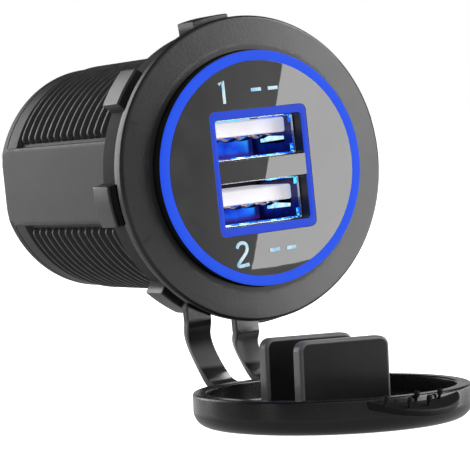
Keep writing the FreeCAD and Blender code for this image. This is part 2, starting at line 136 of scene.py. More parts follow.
def inset(loop: np.ndarray, distance: float) -> np.ndarray:
    """Closed counter-clockwise outline moved inwards.

    Each corner moves along the sum of its two edge normals divided by one plus their dot
    product, which keeps both edges at the same distance.

    Args:
        loop: points, shape (n, 2).
        distance: how far inwards; outwards where negative.

    Returns:
        The moved points, shape (n, 2).
    """
    ahead = np.roll(loop, -1, 0) - loop
    normal = np.stack([ahead[:, 1], -ahead[:, 0]], 1)
    normal /= np.maximum(np.linalg.norm(normal, axis=1, keepdims=True), 1e-12)
    before = np.roll(normal, 1, 0)
    share = 1 + np.sum(normal * before, 1, keepdims=True)
    return loop - distance * (normal + before) / np.maximum(share, 0.2)


def ray_loop(angles: np.ndarray, half_width: float, half_height: float, radius: float,
             z: float = 0.0) -> np.ndarray:
    """Where rays from the middle leave a rounded rectangle.

    The ray meets the straight sides first; inside the corner square the distance to the corner
    arc's centre gives the quadratic t = p + sqrt(p^2 - q) with p the centre's component along
    the ray and q its squared length less the squared radius.

    Args:
        angles: directions of the rays in radians, shape (n,).
        half_width: half the size along X.
        half_height: half the size along Z.
        radius: corner radius.
        z: middle along Z.

    Returns:
        Array of points, shape (n, 2).
    """
    cos, sin = np.cos(angles), np.sin(angles)
    flat = np.minimum(half_width / np.maximum(abs(cos), 1e-9),
                      half_height / np.maximum(abs(sin), 1e-9))
    a, b = half_width - radius, half_height - radius
    along = a * abs(cos) + b * abs(sin)
    arc = along + np.sqrt(np.maximum(along ** 2 - (a * a + b * b - radius ** 2), 0))
    corner = (flat * abs(cos) > a) & (flat * abs(sin) > b)
    reach = np.where(corner, arc, flat)
    return np.stack([reach * cos, reach * sin + z], 1)


def circle_loop(radius: float, angles: np.ndarray) -> np.ndarray:
    """Circle about the axis at given angles."""
    return radius * np.stack([np.cos(angles), np.sin(angles)], 1)


def revolved(profile: np.ndarray, count: int = 180) -> np.ndarray:
    """Profile turned about the Y axis.

    Args:
        profile: radius and place along Y of each point, shape (n, 2).
        count: number of places round the axis.

    Returns:
        Grid (count, n, 3).
    """
    angle = np.linspace(0, 2 * math.pi, count, endpoint=False)[:, None]
    radius, y = profile[:, 0], profile[:, 1]
    level = np.broadcast_to(y, (count, len(y)))
    return np.stack([radius * np.cos(angle), level, radius * np.sin(angle)], -1)


def edge_steps(low: float, high: float, edge: float, count: int = 4) -> np.ndarray:
    """Sections of a slab whose two end edges are quarter rounds.

    Args:
        low: place of the first end.
        high: place of the last end.
        edge: radius of the rounds.
        count: sections in each round.

    Returns:
        Inset and place of each section, shape (2 * count, 2).
    """
    turn = np.linspace(0, math.pi / 2, count)
    start = np.stack([edge * (1 - np.sin(turn)), low + edge * (1 - np.cos(turn))], 1)
    return np.concatenate([start, np.stack([start[::-1, 0], high + low - start[::-1, 1]], 1)])


def ribbon(centres: np.ndarray, across: np.ndarray, widths: np.ndarray | float, thick: np.ndarray | float,
           corner: float, step: float = 30.0) -> np.ndarray:
    """Grid of a flat strip swept along a line.

    Each station is a rounded rectangle: its width lies along `across` and its thickness along
    the cross product of the line's direction and `across`.

    Args:
        centres: stations, shape (k, 3).
        across: unit vector of the strip's width.
        widths: width, one number or shape (k,).
        thick: thickness, one number or shape (k,).
        corner: corner radius.
        step: largest turn between points of a corner, in degrees.

    Returns:
        Grid (k, n, 3).
    """
    along = np.gradient(centres, axis=0)
    along /= np.linalg.norm(along, axis=1, keepdims=True)
    deep = np.cross(along, across)
    deep /= np.linalg.norm(deep, axis=1, keepdims=True)
    widths = np.broadcast_to(widths, len(centres))[:, None]
    thick = np.broadcast_to(thick, len(centres))[:, None]
    unit_round, limit = 0.4, 0.45
    unit = box_loop(2.0, 2.0, unit_round, step=step)
    sign, fine = np.sign(unit), np.abs(unit)
    round_in = (1 - fine) / unit_round * corner
    u = sign[:, 0] * (widths / 2 - np.minimum(round_in[:, 0], widths * limit))
    v = sign[:, 1] * (thick / 2 - np.minimum(round_in[:, 1], thick * limit))
    return centres[:, None] + u[..., None] * across + v[..., None] * deep[:, None]


def smooth_line(points: Sequence | np.ndarray, count: int, start: Sequence[float] | None = None,
                end: Sequence[float] | None = None) -> np.ndarray:
    """Points along a cubic spline through given points.

    The second derivatives m solve h0*m0 + 2*(h0 + h1)*m1 + h1*m2 = 6*(slope1 - slope0), with the
    end slopes given or the end curvature zero, over the chord lengths h.

    Args:
        points: shape (n, 3).
        count: how many points to return.
        start: direction at the first point, or None.
        end: direction at the last point, or None.

    Returns:
        Array (count, 3).
    """
    points = np.asarray(points, float)
    gaps = np.linalg.norm(np.diff(points, axis=0), axis=1)
    slopes = np.diff(points, axis=0) / gaps[:, None]
    n = len(points)
    system = np.eye(n)
    right = np.zeros((n, 3))
    inner = np.arange(1, n - 1)
    system[inner, inner - 1] = gaps[:-1]
    system[inner, inner] = 2 * (gaps[:-1] + gaps[1:])
    system[inner, inner + 1] = gaps[1:]
    right[1:-1] = 6 * np.diff(slopes, axis=0)
    if start is not None:
        unit = np.asarray(start, float) / np.linalg.norm(start)
        system[0, :2] = 2 * gaps[0], gaps[0]
        right[0] = 6 * (slopes[0] - unit)
    if end is not None:
        unit = np.asarray(end, float) / np.linalg.norm(end)
        system[-1, -2:] = gaps[-1], 2 * gaps[-1]
        right[-1] = 6 * (unit - slopes[-1])
    bend = np.linalg.solve(system, right)
    knots = np.concatenate([[0], np.cumsum(gaps)])
    t = np.linspace(0, knots[-1], count)
    k = np.clip(np.searchsorted(knots, t, side="right") - 1, 0, n - 2)
    h = gaps[k][:, None]
    a = (knots[k + 1] - t)[:, None]
    b = (t - knots[k])[:, None]
    curve = (bend[k] * a ** 3 + bend[k + 1] * b ** 3) / (6 * h)
    return curve + (points[k] / h - bend[k] * h / 6) * a + (points[k + 1] / h - bend[k + 1] * h / 6) * b


# Meshes.


class Form:
    """Grids and polygons in millimetres, gathered into one mesh object."""

    same_place = 1e-7
    no_length = 1e-8
    normal_weight = 80

    def __init__(self) -> None:
        """Start empty."""
        self.points: list[np.ndarray] = []
        self.faces: list[list[int]] = []
        self.count = 0

    def grid(self, grid: np.ndarray, close_rows: bool = False, close_cols: bool = True) -> "Form":
        """Add a grid as quads.

        Args:
            grid: points, shape (rows, columns, 3).
            close_rows: whether the last row joins the first.
            close_cols: whether the last column joins the first.

        Returns:
            This form.
        """
        rows, cols = grid.shape[:2]
        index = np.arange(rows * cols).reshape(rows, cols) + self.count
        if close_cols:
            index = np.concatenate([index, index[:, :1]], 1)
        if close_rows:
            index = np.concatenate([index, index[:1]], 0)
        quads = np.stack([index[:-1, :-1], index[:-1, 1:], index[1:, 1:], index[1:, :-1]], -1)
        self.points.append(grid.reshape(-1, 3))
        self.faces += quads.reshape(-1, 4).tolist()
        self.count += rows * cols
        return self

    def polygon(self, ring: np.ndarray) -> "Form":
        """Add one flat face over a ring of points (n, 3) and return this form."""
        self.points.append(ring)
        self.faces.append((np.arange(len(ring)) + self.count).tolist())
        self.count += len(ring)
        return self

    def closed(self, grid: np.ndarray) -> "Form":
        """Add a grid whose rows are rings, with both end rings filled."""
        return self.grid(grid).polygon(grid[0]).polygon(grid[-1])

    def slab(self, loop: np.ndarray, low: float, high: float, edge: float = 0.1) -> "Form":
        """Add an outline in the XZ plane carried along Y, with rounded end edges.

        Args:
            loop: the outline, shape (n, 2).
            low: first place along Y.
            high: last place along Y.
            edge: radius of the end edges.

        Returns:
            This form.
        """
        steps = edge_steps(low, high, edge)
        rings = np.stack([inset(loop, step[0]) for step in steps])
        y = np.broadcast_to(steps[:, 1][:, None], rings.shape[:2])
        return self.closed(np.stack([rings[..., 0], y, rings[..., 1]], -1))

    def band(self, outer: np.ndarray, inner: np.ndarray, low: float, high: float,
             edge: float = 0.05) -> "Form":
        """Add the space between two outlines with matching points, carried along Y.

        Args:
            outer: outer outline, shape (n, 2).
            inner: inner outline, shape (n, 2).
            low: first place along Y.
            high: last place along Y.
            edge: radius of the end edges.

        Returns:
            This form.
        """
        steps = edge_steps(low, high, edge, 3)
        rings = [(inset(outer, step[0]), step[1]) for step in steps]
        rings += [(inset(inner, -step[0]), step[1]) for step in steps[::-1]]
        loops = [np.stack([ring[:, 0], np.full(len(ring), y), ring[:, 1]], -1) for ring, y in rings]
        return self.grid(np.stack(loops), close_rows=True)

    def moved(self, matrix: Matrix) -> "Form":
        """Carry every point so far by a 4 by 4 matrix in millimetres, and return this form."""
        turn = np.array(matrix)
        self.points = [p @ turn[:3, :3].T + turn[:3, 3] for p in self.points]
        return self

    def build(self, name: str, body: Body | None, slot: str, replaced: Sequence[str] = (),
              sharp: float = 32.0) -> bpy.types.Object:
        """Make the object and tie it to its body.

        Args:
            name: the piece's name.
            body: the Body it rides on, or None to leave it unattached.
            slot: not used.
            replaced: CAD nodes that it stands for.
            sharp: edges that turn more than this many degrees stay sharp.

        Returns:
            The new object.
        """
        points = np.concatenate(self.points) * MM
        mesh = bpy.data.meshes.new(name)
        mesh.from_pydata(points.tolist(), [], self.faces)
        work = bmesh.new()
        work.from_mesh(mesh)
        bmesh.ops.remove_doubles(work, verts=work.verts, dist=self.same_place)
        bmesh.ops.dissolve_degenerate(work, edges=work.edges, dist=self.no_length)
        bmesh.ops.recalc_face_normals(work, faces=work.faces)
        work.to_mesh(mesh)
        work.free()
        sides = np.zeros(len(mesh.polygons), np.int32)
        mesh.polygons.foreach_get("loop_total", sides)
        mesh.polygons.foreach_set("use_smooth", sides <= 4)
        mesh.set_sharp_from_angle(angle=math.radians(sharp))
        piece = bpy.data.objects.new(name, mesh)
        bpy.context.scene.collection.objects.link(piece)
        weigh = piece.modifiers.new("weigh", "WEIGHTED_NORMAL")
        weigh.keep_sharp = True
        weigh.weight = self.normal_weight
        if body is not None:
            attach(piece, body.value)
        if replaced:
            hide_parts(*replaced)
        log.info("%s: %d faces", name, len(mesh.polygons))
        return piece


# Materials.


class Value:
    """Output socket of a node tree, with arithmetic that adds Math nodes."""

    def __init__(self, scape: "Scape", socket: bpy.types.NodeSocket) -> None:
        """Wrap a socket of a node tree."""
        self.scape = scape
        self.socket = socket

    def maths(self, operation: str, *others: "Value | float") -> "Value":
        """Math node on this value and the others."""
        terms = dict(enumerate((self,) + others))
        return self.scape.add("ShaderNodeMath", {"operation": operation}, terms)

    def __add__(self, other: "Value | float") -> "Value":
        """Sum."""
        return self.maths("ADD", other)

    def __radd__(self, other: "Value | float") -> "Value":
        """Sum with a number on the left."""
        return self + other

    def __sub__(self, other: "Value | float") -> "Value":
        """Difference."""
        return self.maths("SUBTRACT", other)

    def __rsub__(self, other: "Value | float") -> "Value":
        """Number less this value."""
        return self * -1.0 + other

    def __mul__(self, other: "Value | float") -> "Value":
        """Product."""
        return self.maths("MULTIPLY", other)

    def __rmul__(self, other: "Value | float") -> "Value":
        """Product with a number on the left."""
        return self * other

    def __pow__(self, other: "Value | float") -> "Value":
        """Power."""
        return self.maths("POWER", other)

    def clamp(self) -> "Value":
        """Hold the value between 0 and 1.

        Returns:
            The new value.
        """
        held = self.maths("ADD", 0.0)
        held.socket.node.use_clamp = True
        return held

    def ramp(self, low: float, high: float, smooth: bool = True) -> "Value":
        """Value taken from low..high to 0..1 and held at both ends.

        Args:
            low: value that becomes 0.
            high: value that becomes 1; it may be the smaller one.
            smooth: whether the way between them is S-shaped or straight.

        Returns:
            The new value.
        """
        kind = "SMOOTHSTEP" if smooth else "LINEAR"
        inputs = {"Value": self, "From Min": low, "From Max": high}
        return self.scape.add("ShaderNodeMapRange", {"interpolation_type": kind}, inputs)


class Scape:
    """Node tree in the making, of a world or a material."""

    def __init__(self, tree: bpy.types.NodeTree) -> None:
        """Wrap a tree."""
        self.tree = tree

    def add(self, kind: str, settings: dict | None = None, inputs: dict | None = None,
            output: int | str = 0) -> Value:
        """Add a node.

        Args:
            kind: node type.
            settings: attributes, set before the inputs.
            inputs: values by socket name or number; a Value is linked, anything else is set.
            output: name or number of the output to return.

        Returns:
            The output as a Value.
        """
        node = self.tree.nodes.new(kind)
        for key, value in (settings or {}).items():
            setattr(node, key, value)
        for key, value in (inputs or {}).items():
            if isinstance(value, Value):
                self.tree.links.new(value.socket, node.inputs[key])
            else:
                node.inputs[key].default_value = value
        return Value(self, node.outputs[output])

    def mix(self, share: Value, first: Value | Colour, second: Value | Colour) -> Value:
        """Colour between two colours."""
        return self.add("ShaderNodeMix", {"data_type": "RGBA"}, {0: share, 6: first, 7: second}, 2)

    def ray(self, kind: str) -> Value:
        """1 for rays of one kind, 0 for the others."""
        return self.add("ShaderNodeLightPath", output=kind)

    def direction(self) -> list[Value]:
        """The three parts of the world's direction."""
        place = self.add("ShaderNodeTexCoord", output="Generated")
        return [self.add("ShaderNodeSeparateXYZ", None, {"Vector": place}, i) for i in range(3)]


class Recipe(Scape):
    """A material in the making: its node tree, main shader and object coordinates."""

    def __init__(self, name: str, **constants: float | Colour) -> None:
        """New material with a Principled shader.

        Args:
            name: the material's name.
            constants: values of the shader's sockets, with _ for each blank in their names.
        """
        self.material = bpy.data.materials.new(name)
        self.material.use_nodes = True
        super().__init__(self.material.node_tree)
        self.shader = self.tree.nodes["Principled BSDF"]
        for key, value in constants.items():
            self.shader.inputs[key.replace("_", " ")].default_value = value
        self.place = self.add("ShaderNodeTexCoord", output="Object")

    def noise(self, size: float, detail: float = 2.0, rough: float = 0.5) -> Value:
        """Noise of 0..1.

        Args:
            size: width of its features in millimetres.
            detail: how many finer layers are added.
            rough: how strong each finer layer is.

        Returns:
            The noise's value.
        """
        inputs = {"Vector": self.place, "Scale": 1 / MM / size, "Detail": detail, "Roughness": rough}
        return self.add("ShaderNodeTexNoise", None, inputs, "Fac")

    def axes(self) -> list[Value]:
        """The three object coordinates in millimetres."""
        inputs = {"Vector": self.place}
        return [self.add("ShaderNodeSeparateXYZ", None, inputs, i) * (1 / MM) for i in range(3)]

    def radius(self) -> Value:
        """Distance from the socket's axis in millimetres."""
        x, _, z = self.axes()
        return (x * x + z * z) ** 0.5

    def bump(self, height: Value, depth: float, normal: Value | None = None) -> Value:
        """Normal of a bumpy surface.

        Args:
            height: height of 0..1.
            depth: millimetres that a height of 1 stands for.
            normal: normal of the bumps under these, or None.

        Returns:
            The normal.
        """
        inputs = {"Height": height, "Distance": depth * MM, "Strength": 1.0}
        if normal is not None:
            inputs["Normal"] = normal
        return self.add("ShaderNodeBump", None, inputs)

    def drive(self, **values: Value) -> bpy.types.Material:
        """Link values to the main shader's sockets.

        Args:
            values: what feeds each socket, with _ for each blank in its name.

        Returns:
            The material.
        """
        for key, value in values.items():
            self.tree.links.new(value.socket, self.shader.inputs[key.replace("_", " ")])
        return self.material


@dataclass(frozen=True)
class Finish:
    """Look of a moulded, rubber, metal or coated surface, with sizes in millimetres."""

    name: str
    dark: Colour
    light: Colour
    patch: float = 4.0
    rough: float = 0.5
    rough_spread: float = 0.12
    grain: float = 0.25
    grain_depth: float = 0.006
    wave: float = 3.0
    wave_depth: float = 0.01
    metallic: float = 0.0
    coat: float = 0.0
    gloss: float = 0.5

    def recipe(self) -> Recipe:
        """Recipe with this finish's constants."""
        return Recipe(self.name, Metallic=self.metallic, Coat_Weight=self.coat, Coat_Roughness=0.12,
                      Specular_IOR_Level=self.gloss)

    def colour(self, recipe: Recipe) -> Value:
        """Two tones mixed by slow and fine noise.

        Args:
            recipe: the material in the making.

        Returns:
            The colour.
        """
        slow = recipe.noise(self.patch, 3.0)
        fine = recipe.noise(self.grain * 1.6, 2.0)
        return recipe.mix((slow * 0.7 + fine * 0.3).ramp(0.35, 0.65), self.dark, self.light)

    def surface(self, recipe: Recipe) -> tuple[Value, Value]:
        """Grain over slow waves.

        Args:
            recipe: the material in the making.

        Returns:
            Roughness and normal.
        """
        grain = recipe.noise(self.grain, 2.0, 0.6)
        wave = recipe.noise(self.wave, 1.0)
        spread = self.rough_spread
        rough = recipe.noise(self.patch * 0.6, 4.0) * (2 * spread) + (self.rough - spread)
        normal = recipe.bump(grain, self.grain_depth, recipe.bump(wave, self.wave_depth))
        return rough + (grain - 0.5) * (0.5 * spread), normal

    def wear_and_painted_light(self, recipe: Recipe, colour: Value, rough: Value) -> tuple[Value, Value]:
        """Add this finish's own wear, painted light and painted shade; a plain finish has none.

        Args:
            recipe: the material in the making.
            colour: colour without wear and painted light.
            rough: roughness without wear.

        Returns:
            Colour with the wear and painted light, and roughness with the wear.
        """
        return colour, rough

    def make(self) -> bpy.types.Material:
        """Make the material.

        Returns:
            The finished material.
        """
        recipe = self.recipe()
        colour = self.colour(recipe)
        rough, normal = self.surface(recipe)
        colour, rough = self.wear_and_painted_light(recipe, colour, rough)
        return recipe.drive(Base_Color=colour, Roughness=rough, Normal=normal)


def grey(level: float, tint: Sequence[float] = (1.0, 1.0, 1.0)) -> Colour:
    """Linear colour with alpha of one brightness."""
    return (level * tint[0], level * tint[1], level * tint[2], 1.0)


@dataclass(frozen=True)
class BarrelFinish(Finish):
    """Moulded barrel: rib crests painted lighter as a highlight broken up like wear, valleys painted darker
    as shade and duller.
    """

    def wear_and_painted_light(self, recipe: Recipe, colour: Value, rough: Value) -> tuple[Value, Value]:
        """Painted crest highlight with wear and painted valley shade, by the distance from the axis; none on
        the flange.
        """
        radius = recipe.radius()
        barrel = 1.0 - radius.ramp(15.1, 15.3)
        crest_highlight_and_wear = radius.ramp(14.86, 15.02) * recipe.noise(1.4, 3.0).ramp(0.25, 0.7) * barrel
        # Painted shade: darker from each crest down to the root.
        colour = recipe.mix(radius.ramp(14.95, 14.3) * barrel, colour, grey(0.007))
        # Painted highlight on the crests, broken up by noise like wear; there they are smoother too.
        return recipe.mix(crest_highlight_and_wear * 0.6, colour, grey(0.07)), rough + barrel * 0.17 - crest_highlight_and_wear * 0.12


@dataclass(frozen=True)
class NutFinish(Finish):
    """Moulded nut: its lugs are smoother than the ring between them, from wear."""

    def wear_and_painted_light(self, recipe: Recipe, colour: Value, rough: Value) -> tuple[Value, Value]:
        """Duller inside the lugs' feet."""
        return colour, rough + recipe.radius().ramp(18.7, 17.8) * 0.42


@dataclass(frozen=True)
class Rubber(Finish):
    """Black rubber of the ring, the straps and the cap."""

    patch: float = 6.0
    rough_spread: float = 0.05
    grain: float = 0.16
    grain_depth: float = 0.004
    wave: float = 4.0
    wave_depth: float = 0.02
    gloss: float = 0.2


@dataclass(frozen=True)
class DustyRubber(Rubber):
    """Rubber with faint dust in its shallow waves."""

    def wear_and_painted_light(self, recipe: Recipe, colour: Value, rough: Value) -> tuple[Value, Value]:
        """Paler and duller where the dust lies."""
        dust = recipe.noise(2.2, 5.0, 0.7).ramp(0.52, 0.78)
        return recipe.mix(dust * 0.35, colour, grey(0.014)), rough + dust * 0.1


@dataclass(frozen=True)
class StrapRubber(Rubber):
    """The cap's rubber, with a painted highlight where the straps bend."""

    highlight_top: tuple[float, float] = (-19.6, -21.6)
    highlight_foot: tuple[float, float] = (-24.1, -23.5)
    slant: float = 0.05

    def wear_and_painted_light(self, recipe: Recipe, colour: Value, rough: Value) -> tuple[Value, Value]:
        """A painted highlight: a pale band between two heights; its foot is slanted."""
        x, _, z = recipe.axes()
        # The pale band is a painted highlight.
        pale = z.ramp(*self.highlight_top) * (z + x * self.slant).ramp(*self.highlight_foot)
        return recipe.mix(pale, colour, grey(0.2)), rough


@dataclass(frozen=True)
class PlateRubber(Rubber):
    """The cap's rubber with a painted highlight along the plates' rounded edges."""

    def wear_and_painted_light(self, recipe: Recipe, colour: Value, rough: Value) -> tuple[Value, Value]:
        """Painted highlight on the rounded corners of the plug plates.

        The open cap is turned a quarter about the hinge's axis a, so a point that is v away from
        the hinge was at a * (a . v) - a x v on the shut cap. The distance there from the straight
        part of the plate's end gives the edge.
        """
        x, y, z = (axis - spot for axis, spot in zip(recipe.axes(), HINGE))
        cos, _, sin = HINGE_AXIS
        across = x * (cos * cos) + z * (cos * sin) + y * sin + HINGE[0]
        along = z * cos - x * sin + HINGE[1]
        reach = 10.0
        out = (across * across) ** 0.5 - (DustCap.plate_width / 2 - DustCap.plate_corner)
        up = along - (DustCap.rim + DustCap.plate_reach - DustCap.plate_corner)
        out, up = (part.ramp(0.0, reach, False) * reach for part in (out, up))
        # The edge band gets a painted highlight.
        edge = ((out * out + up * up) ** 0.5).ramp(0.75, 0.95)
        return recipe.mix(edge, colour, grey(0.15)), rough


@dataclass(frozen=True)
class Metal(Finish):
    """Bare or plated metal."""

    wave: float = 2.0
    metallic: float = 1.0


COOL = (0.97, 1.0, 1.03)
BARREL = BarrelFinish("housing_moulded", grey(0.010), grey(0.015), 5.0, 0.34, 0.03, 0.28, 0.012, 2.5, 0.006)
NUT = NutFinish("nut_moulded", grey(0.010), grey(0.015), 4.0, 0.36, 0.06, 0.2, 0.005, 3.0, 0.02, gloss=0.7)
RUBBER = DustyRubber("cap_rubber", grey(0.004), grey(0.007), rough=0.26, wave_depth=0.03, gloss=0.42)
PLATE = PlateRubber("plate_rubber", grey(0.006), grey(0.010), rough=0.3, wave_depth=0.03)
TAB = Rubber("tab_rubber", grey(0.006), grey(0.010), rough=0.55)
STRAP = StrapRubber("strap_rubber", grey(0.014), grey(0.02), rough=0.2, gloss=1.0)
BLACK = Finish("bezel_black", grey(0.010), grey(0.016), 3.0, 0.38, 0.08, 0.18, 0.004)
CHROME = Metal("shell_chrome", grey(0.62, COOL), grey(0.78, COOL), 1.6, 0.2, 0.08, 0.1, 0.002)
# Shell steel painted dark and blue: painted shade and painted blue light.
SHELL = Metal("shell_painted_blue_shade", (0.05, 0.05, 0.13, 1), (0.10, 0.09, 0.24, 1), 1.2, 0.26, 0.1, 0.1, 0.002)
# Nickel darkened and tinted purple: painted shade.
CONTACT = Metal("contact_nickel_painted_dark", (0.10, 0.09, 0.13, 1), (0.30, 0.26, 0.30, 1), 0.5, 0.22, 0.1, 0.1, 0.002,
                1.0, 0.005)
BOARD = Finish("board_mask", (0.010, 0.055, 0.030, 1), (0.02, 0.085, 0.045, 1), 1.2, 0.35, 0.1, 0.3, 0.01,
               2.0, coat=0.3)
LAMP = Finish("lamp_case", (0.55, 0.62, 0.75, 1), (0.70, 0.76, 0.85, 1), 1.0, 0.3, 0.1, 0.2, 0.004)
FERRITE = Finish("ferrite_grey", grey(0.03), grey(0.055), 0.8, 0.6, 0.15, 0.12, 0.02)
CAN = Metal("can_sleeve", grey(0.42, COOL), grey(0.55, COOL), 2.0, 0.32, 0.1, 0.15, 0.003)
CHIP = Finish("chip_resin", grey(0.012), grey(0.022), 1.0, 0.55, 0.1, 0.1, 0.006)
TERMINAL = Metal("terminal_tin", grey(0.55), grey(0.70), 1.5, 0.3, 0.14, 0.12, 0.004)


def glow_material(name: str, colour: Colour) -> bpy.types.Material:
    """Clear plastic lit from behind, a little uneven.

    Args:
        name: the material's name.
        colour: its brightest light.

    Returns:
        The material.
    """
    unevenness = 0.06
    recipe = Recipe(name, Roughness=0.4, Emission_Strength=1.0, Base_Color=(0.0, 0.004, 0.03, 1),
                    Specular_IOR_Level=0.06)
    dim = tuple(c * (1 - unevenness) for c in colour[:3]) + (1.0,)
    light = recipe.mix(recipe.noise(5.0, 2.0).ramp(0.3, 0.7), dim, colour)
    normal = recipe.bump(recipe.noise(0.4, 2.0), 0.002)
    return recipe.drive(Emission_Color=light, Normal=normal)


def label_material() -> bpy.types.Material:
    """Dark print behind a clear glossy film, with a trace of orange peel, and a painted reflection that makes
    it paler to the right.

    Returns:
        The material.
    """
    recipe = Recipe("label_film", IOR=1.5, Specular_IOR_Level=0.5)
    x, _, z = recipe.axes()
    # Painted reflection: paler to the right of a slanted line.
    shade = recipe.mix((x - z * 0.12).ramp(-16.0, 2.0), grey(0.050), grey(0.105))
    colour = recipe.mix(recipe.noise(6.0, 2.0).ramp(0.3, 0.7), shade, grey(0.086))
    rough = recipe.noise(3.0, 3.0) * 0.012 + 0.004
    normal = recipe.bump(recipe.noise(1.5, 1.0), 0.0003)
    return recipe.drive(Base_Color=colour, Roughness=rough, Normal=normal)


def mark_material() -> bpy.types.Material:
    """Silver-blue print of the marks, changing in tone across each mark, with a faint glow of painted light.

    Returns:
        The material.
    """
    # Faint glow of the print: painted light.
    recipe = Recipe("label_marks", Metallic=0.0, Emission_Strength=0.25)
    tone = recipe.noise(1.6, 2.0).ramp(0.35, 0.65)
    colour = recipe.mix(tone, (0.20, 0.52, 0.72, 1), (0.62, 0.78, 0.86, 1))
    rough = recipe.noise(0.5, 2.0) * 0.2 + 0.2
    return recipe.drive(Base_Color=colour, Emission_Color=colour, Roughness=rough)


def winding_material() -> bpy.types.Material:
    """Enamelled copper wire in close turns: a sine along the coil's axis, darker between the turns as painted
    shade.

    Returns:
        The material.
    """
    recipe = Recipe("copper_turns", Metallic=1.0)
    wire = 0.42
    turn = (recipe.axes()[2] * (2 * math.pi / wire)).maths("SINE") * 0.5 + 0.5
    # Painted shade: darker between the turns.
    colour = recipe.mix(turn, (0.35, 0.12, 0.05, 1), (0.85, 0.42, 0.22, 1))
    rough = recipe.noise(0.6, 2.0) * 0.2 + 0.2
    return recipe.drive(Base_Color=colour, Roughness=rough, Normal=recipe.bump(turn, 0.12))


def blade_material() -> bpy.types.Material:
    """White tongue that glows faintly as painted light, with painted blue light towards its right end.

    Returns:
        The material.
    """
    # Faint glow: painted light that keeps the tongue white in shade.
    recipe = Recipe("tongue_white", Roughness=0.35, Emission_Strength=0.55)
    # Painted blue light towards the right end.
    end = recipe.axes()[0].ramp(4.6, 5.7)
    tone = recipe.mix(recipe.noise(2.0, 3.0).ramp(0.3, 0.7), (0.84, 0.82, 0.86, 1), (0.93, 0.90, 0.92, 1))
    colour = recipe.mix(end * 0.6, tone, (0.45, 0.66, 0.95, 1))
    normal = recipe.bump(recipe.noise(0.15), 0.003)
    return recipe.drive(Base_Color=colour, Emission_Color=colour, Normal=normal)


def port_back_material(name: str, low: float, high: float, above: Colour) -> bpy.types.Material:
    """Plastic block at the back of a port, glowing blue below the tongue as painted light, with painted shade
    at its side wall and foot.

    Args:
        name: the port's name.
        low: height of the block's foot, where the painted shade lies and the painted light near the right
            starts.
        high: the tongue's underside.
        above: colour painted over the tongue: painted light on the upper port, painted shade on the lower.

    Returns:
        The material.
    """
    recipe = Recipe("port_back_" + name, Roughness=0.4, Emission_Strength=1.0)
    x, _, z = recipe.axes()
    tone = recipe.noise(2.2, 3.0).ramp(0.3, 0.75)
    colour = recipe.mix(tone, (0.004, 0.022, 0.40, 1), (0.012, 0.12, 0.86, 1))
    # Painted light near the right, painted shade at the side wall and foot, and a painted tone above the
    # tongue.
    painted_light_right = x.ramp(3.4, 5.2) * z.ramp(low, high) * 0.7
    painted_shade_wall = x.ramp(5.1, 5.5)
    painted_shade_foot = z.ramp(low + 0.7, low + 0.1) * 0.8
    for share, tint in ((painted_light_right, (0.02, 0.42, 0.98, 1)), (painted_shade_wall, (0.006, 0.008, 0.10, 1)),
                        (painted_shade_foot, (0.03, 0.01, 0.12, 1)), (z.ramp(high + 0.3, high + 0.9), above)):
        colour = recipe.mix(share, colour, tint)
    return recipe.drive(Base_Color=colour, Emission_Color=colour)


def leaf_material() -> bpy.types.Material:
    """Spring leaf glowing as a painted reflection: cyan at its root, nearly white at its rim.

    Returns:
        The material.
    """
    # The leaf's glow is a painted reflection.
    recipe = Recipe("leaf_painted_glint", Metallic=0.3, Roughness=0.3, Emission_Strength=0.9)
    y = recipe.axes()[1]
    tone = recipe.mix(y.ramp(0.5, 5.5), (0.42, 0.80, 0.95, 1), (0.12, 0.62, 0.93, 1))
    colour = recipe.mix(recipe.noise(0.7, 3.0).ramp(0.45, 0.6), tone, (0.70, 0.92, 0.96, 1))
    return recipe.drive(Base_Color=colour, Emission_Color=colour)


def glint_material() -> bpy.types.Material:
    """Painted reflection of blue light in broken patches along an edge, from dark through cyan to white.

    Returns:
        The material.
    """
    recipe = Recipe("edge_painted_glint", Metallic=0.6, Roughness=0.25, Emission_Strength=1.0)
    patch = recipe.noise(1.3, 3.0, 0.6)
    colour = recipe.mix(patch.ramp(0.36, 0.48), (0.004, 0.006, 0.10, 1), (0.01, 0.12, 0.80, 1))
    colour = recipe.mix(patch.ramp(0.54, 0.58), colour, (0.10, 0.70, 0.98, 1))
    colour = recipe.mix(patch.ramp(0.64, 0.68), colour, (0.85, 0.97, 0.99, 1))
    return recipe.drive(Base_Color=colour, Emission_Color=colour)


def make_palette() -> dict[str, bpy.types.Material]:
    """Make every material of the scene once.

    Returns:
        The materials by the names of their looks.
    """
    finishes = {"barrel": BARREL, "nut": NUT, "strap": STRAP, "rubber": RUBBER, "plate": PLATE, "tab": TAB,
                "black": BLACK, "chrome": CHROME, "shell": SHELL, "contact": CONTACT, "board": BOARD,
                "lamp": LAMP, "ferrite": FERRITE, "can": CAN, "chip": CHIP, "terminal": TERMINAL}
    palette = {look: finish.make() for look, finish in finishes.items()}
    palette["ring"] = glow_material("ring_glow", (0.022, 0.092, 0.84, 1))
    palette["frame"] = glow_material("frame_glow", (0.028, 0.074, 0.66, 1))
    palette["label"] = label_material()
    palette["marks"] = mark_material()
    palette["white"] = blade_material()
    palette["copper"] = winding_material()
    palette["leaf"] = leaf_material()
    palette["glint"] = glint_material()
    # Over the tongue: painted light on the upper port, painted shade on the lower.
    palette["back_upper"] = port_back_material("upper", 1.4, 4.03, (0.10, 0.62, 0.96, 1))
    palette["back_lower"] = port_back_material("lower", -6.6, -4.23, (0.004, 0.004, 0.01, 1))
    return palette


def wear(material: bpy.types.Material, *pieces: bpy.types.Object) -> None:
    """Give pieces one material.

    Args:
        material: the material.
        pieces: objects whose own materials it takes the place of.
    """
    for piece in pieces:
        piece.data.materials.clear()
        piece.data.materials.append(material)


# Sub-assemblies.


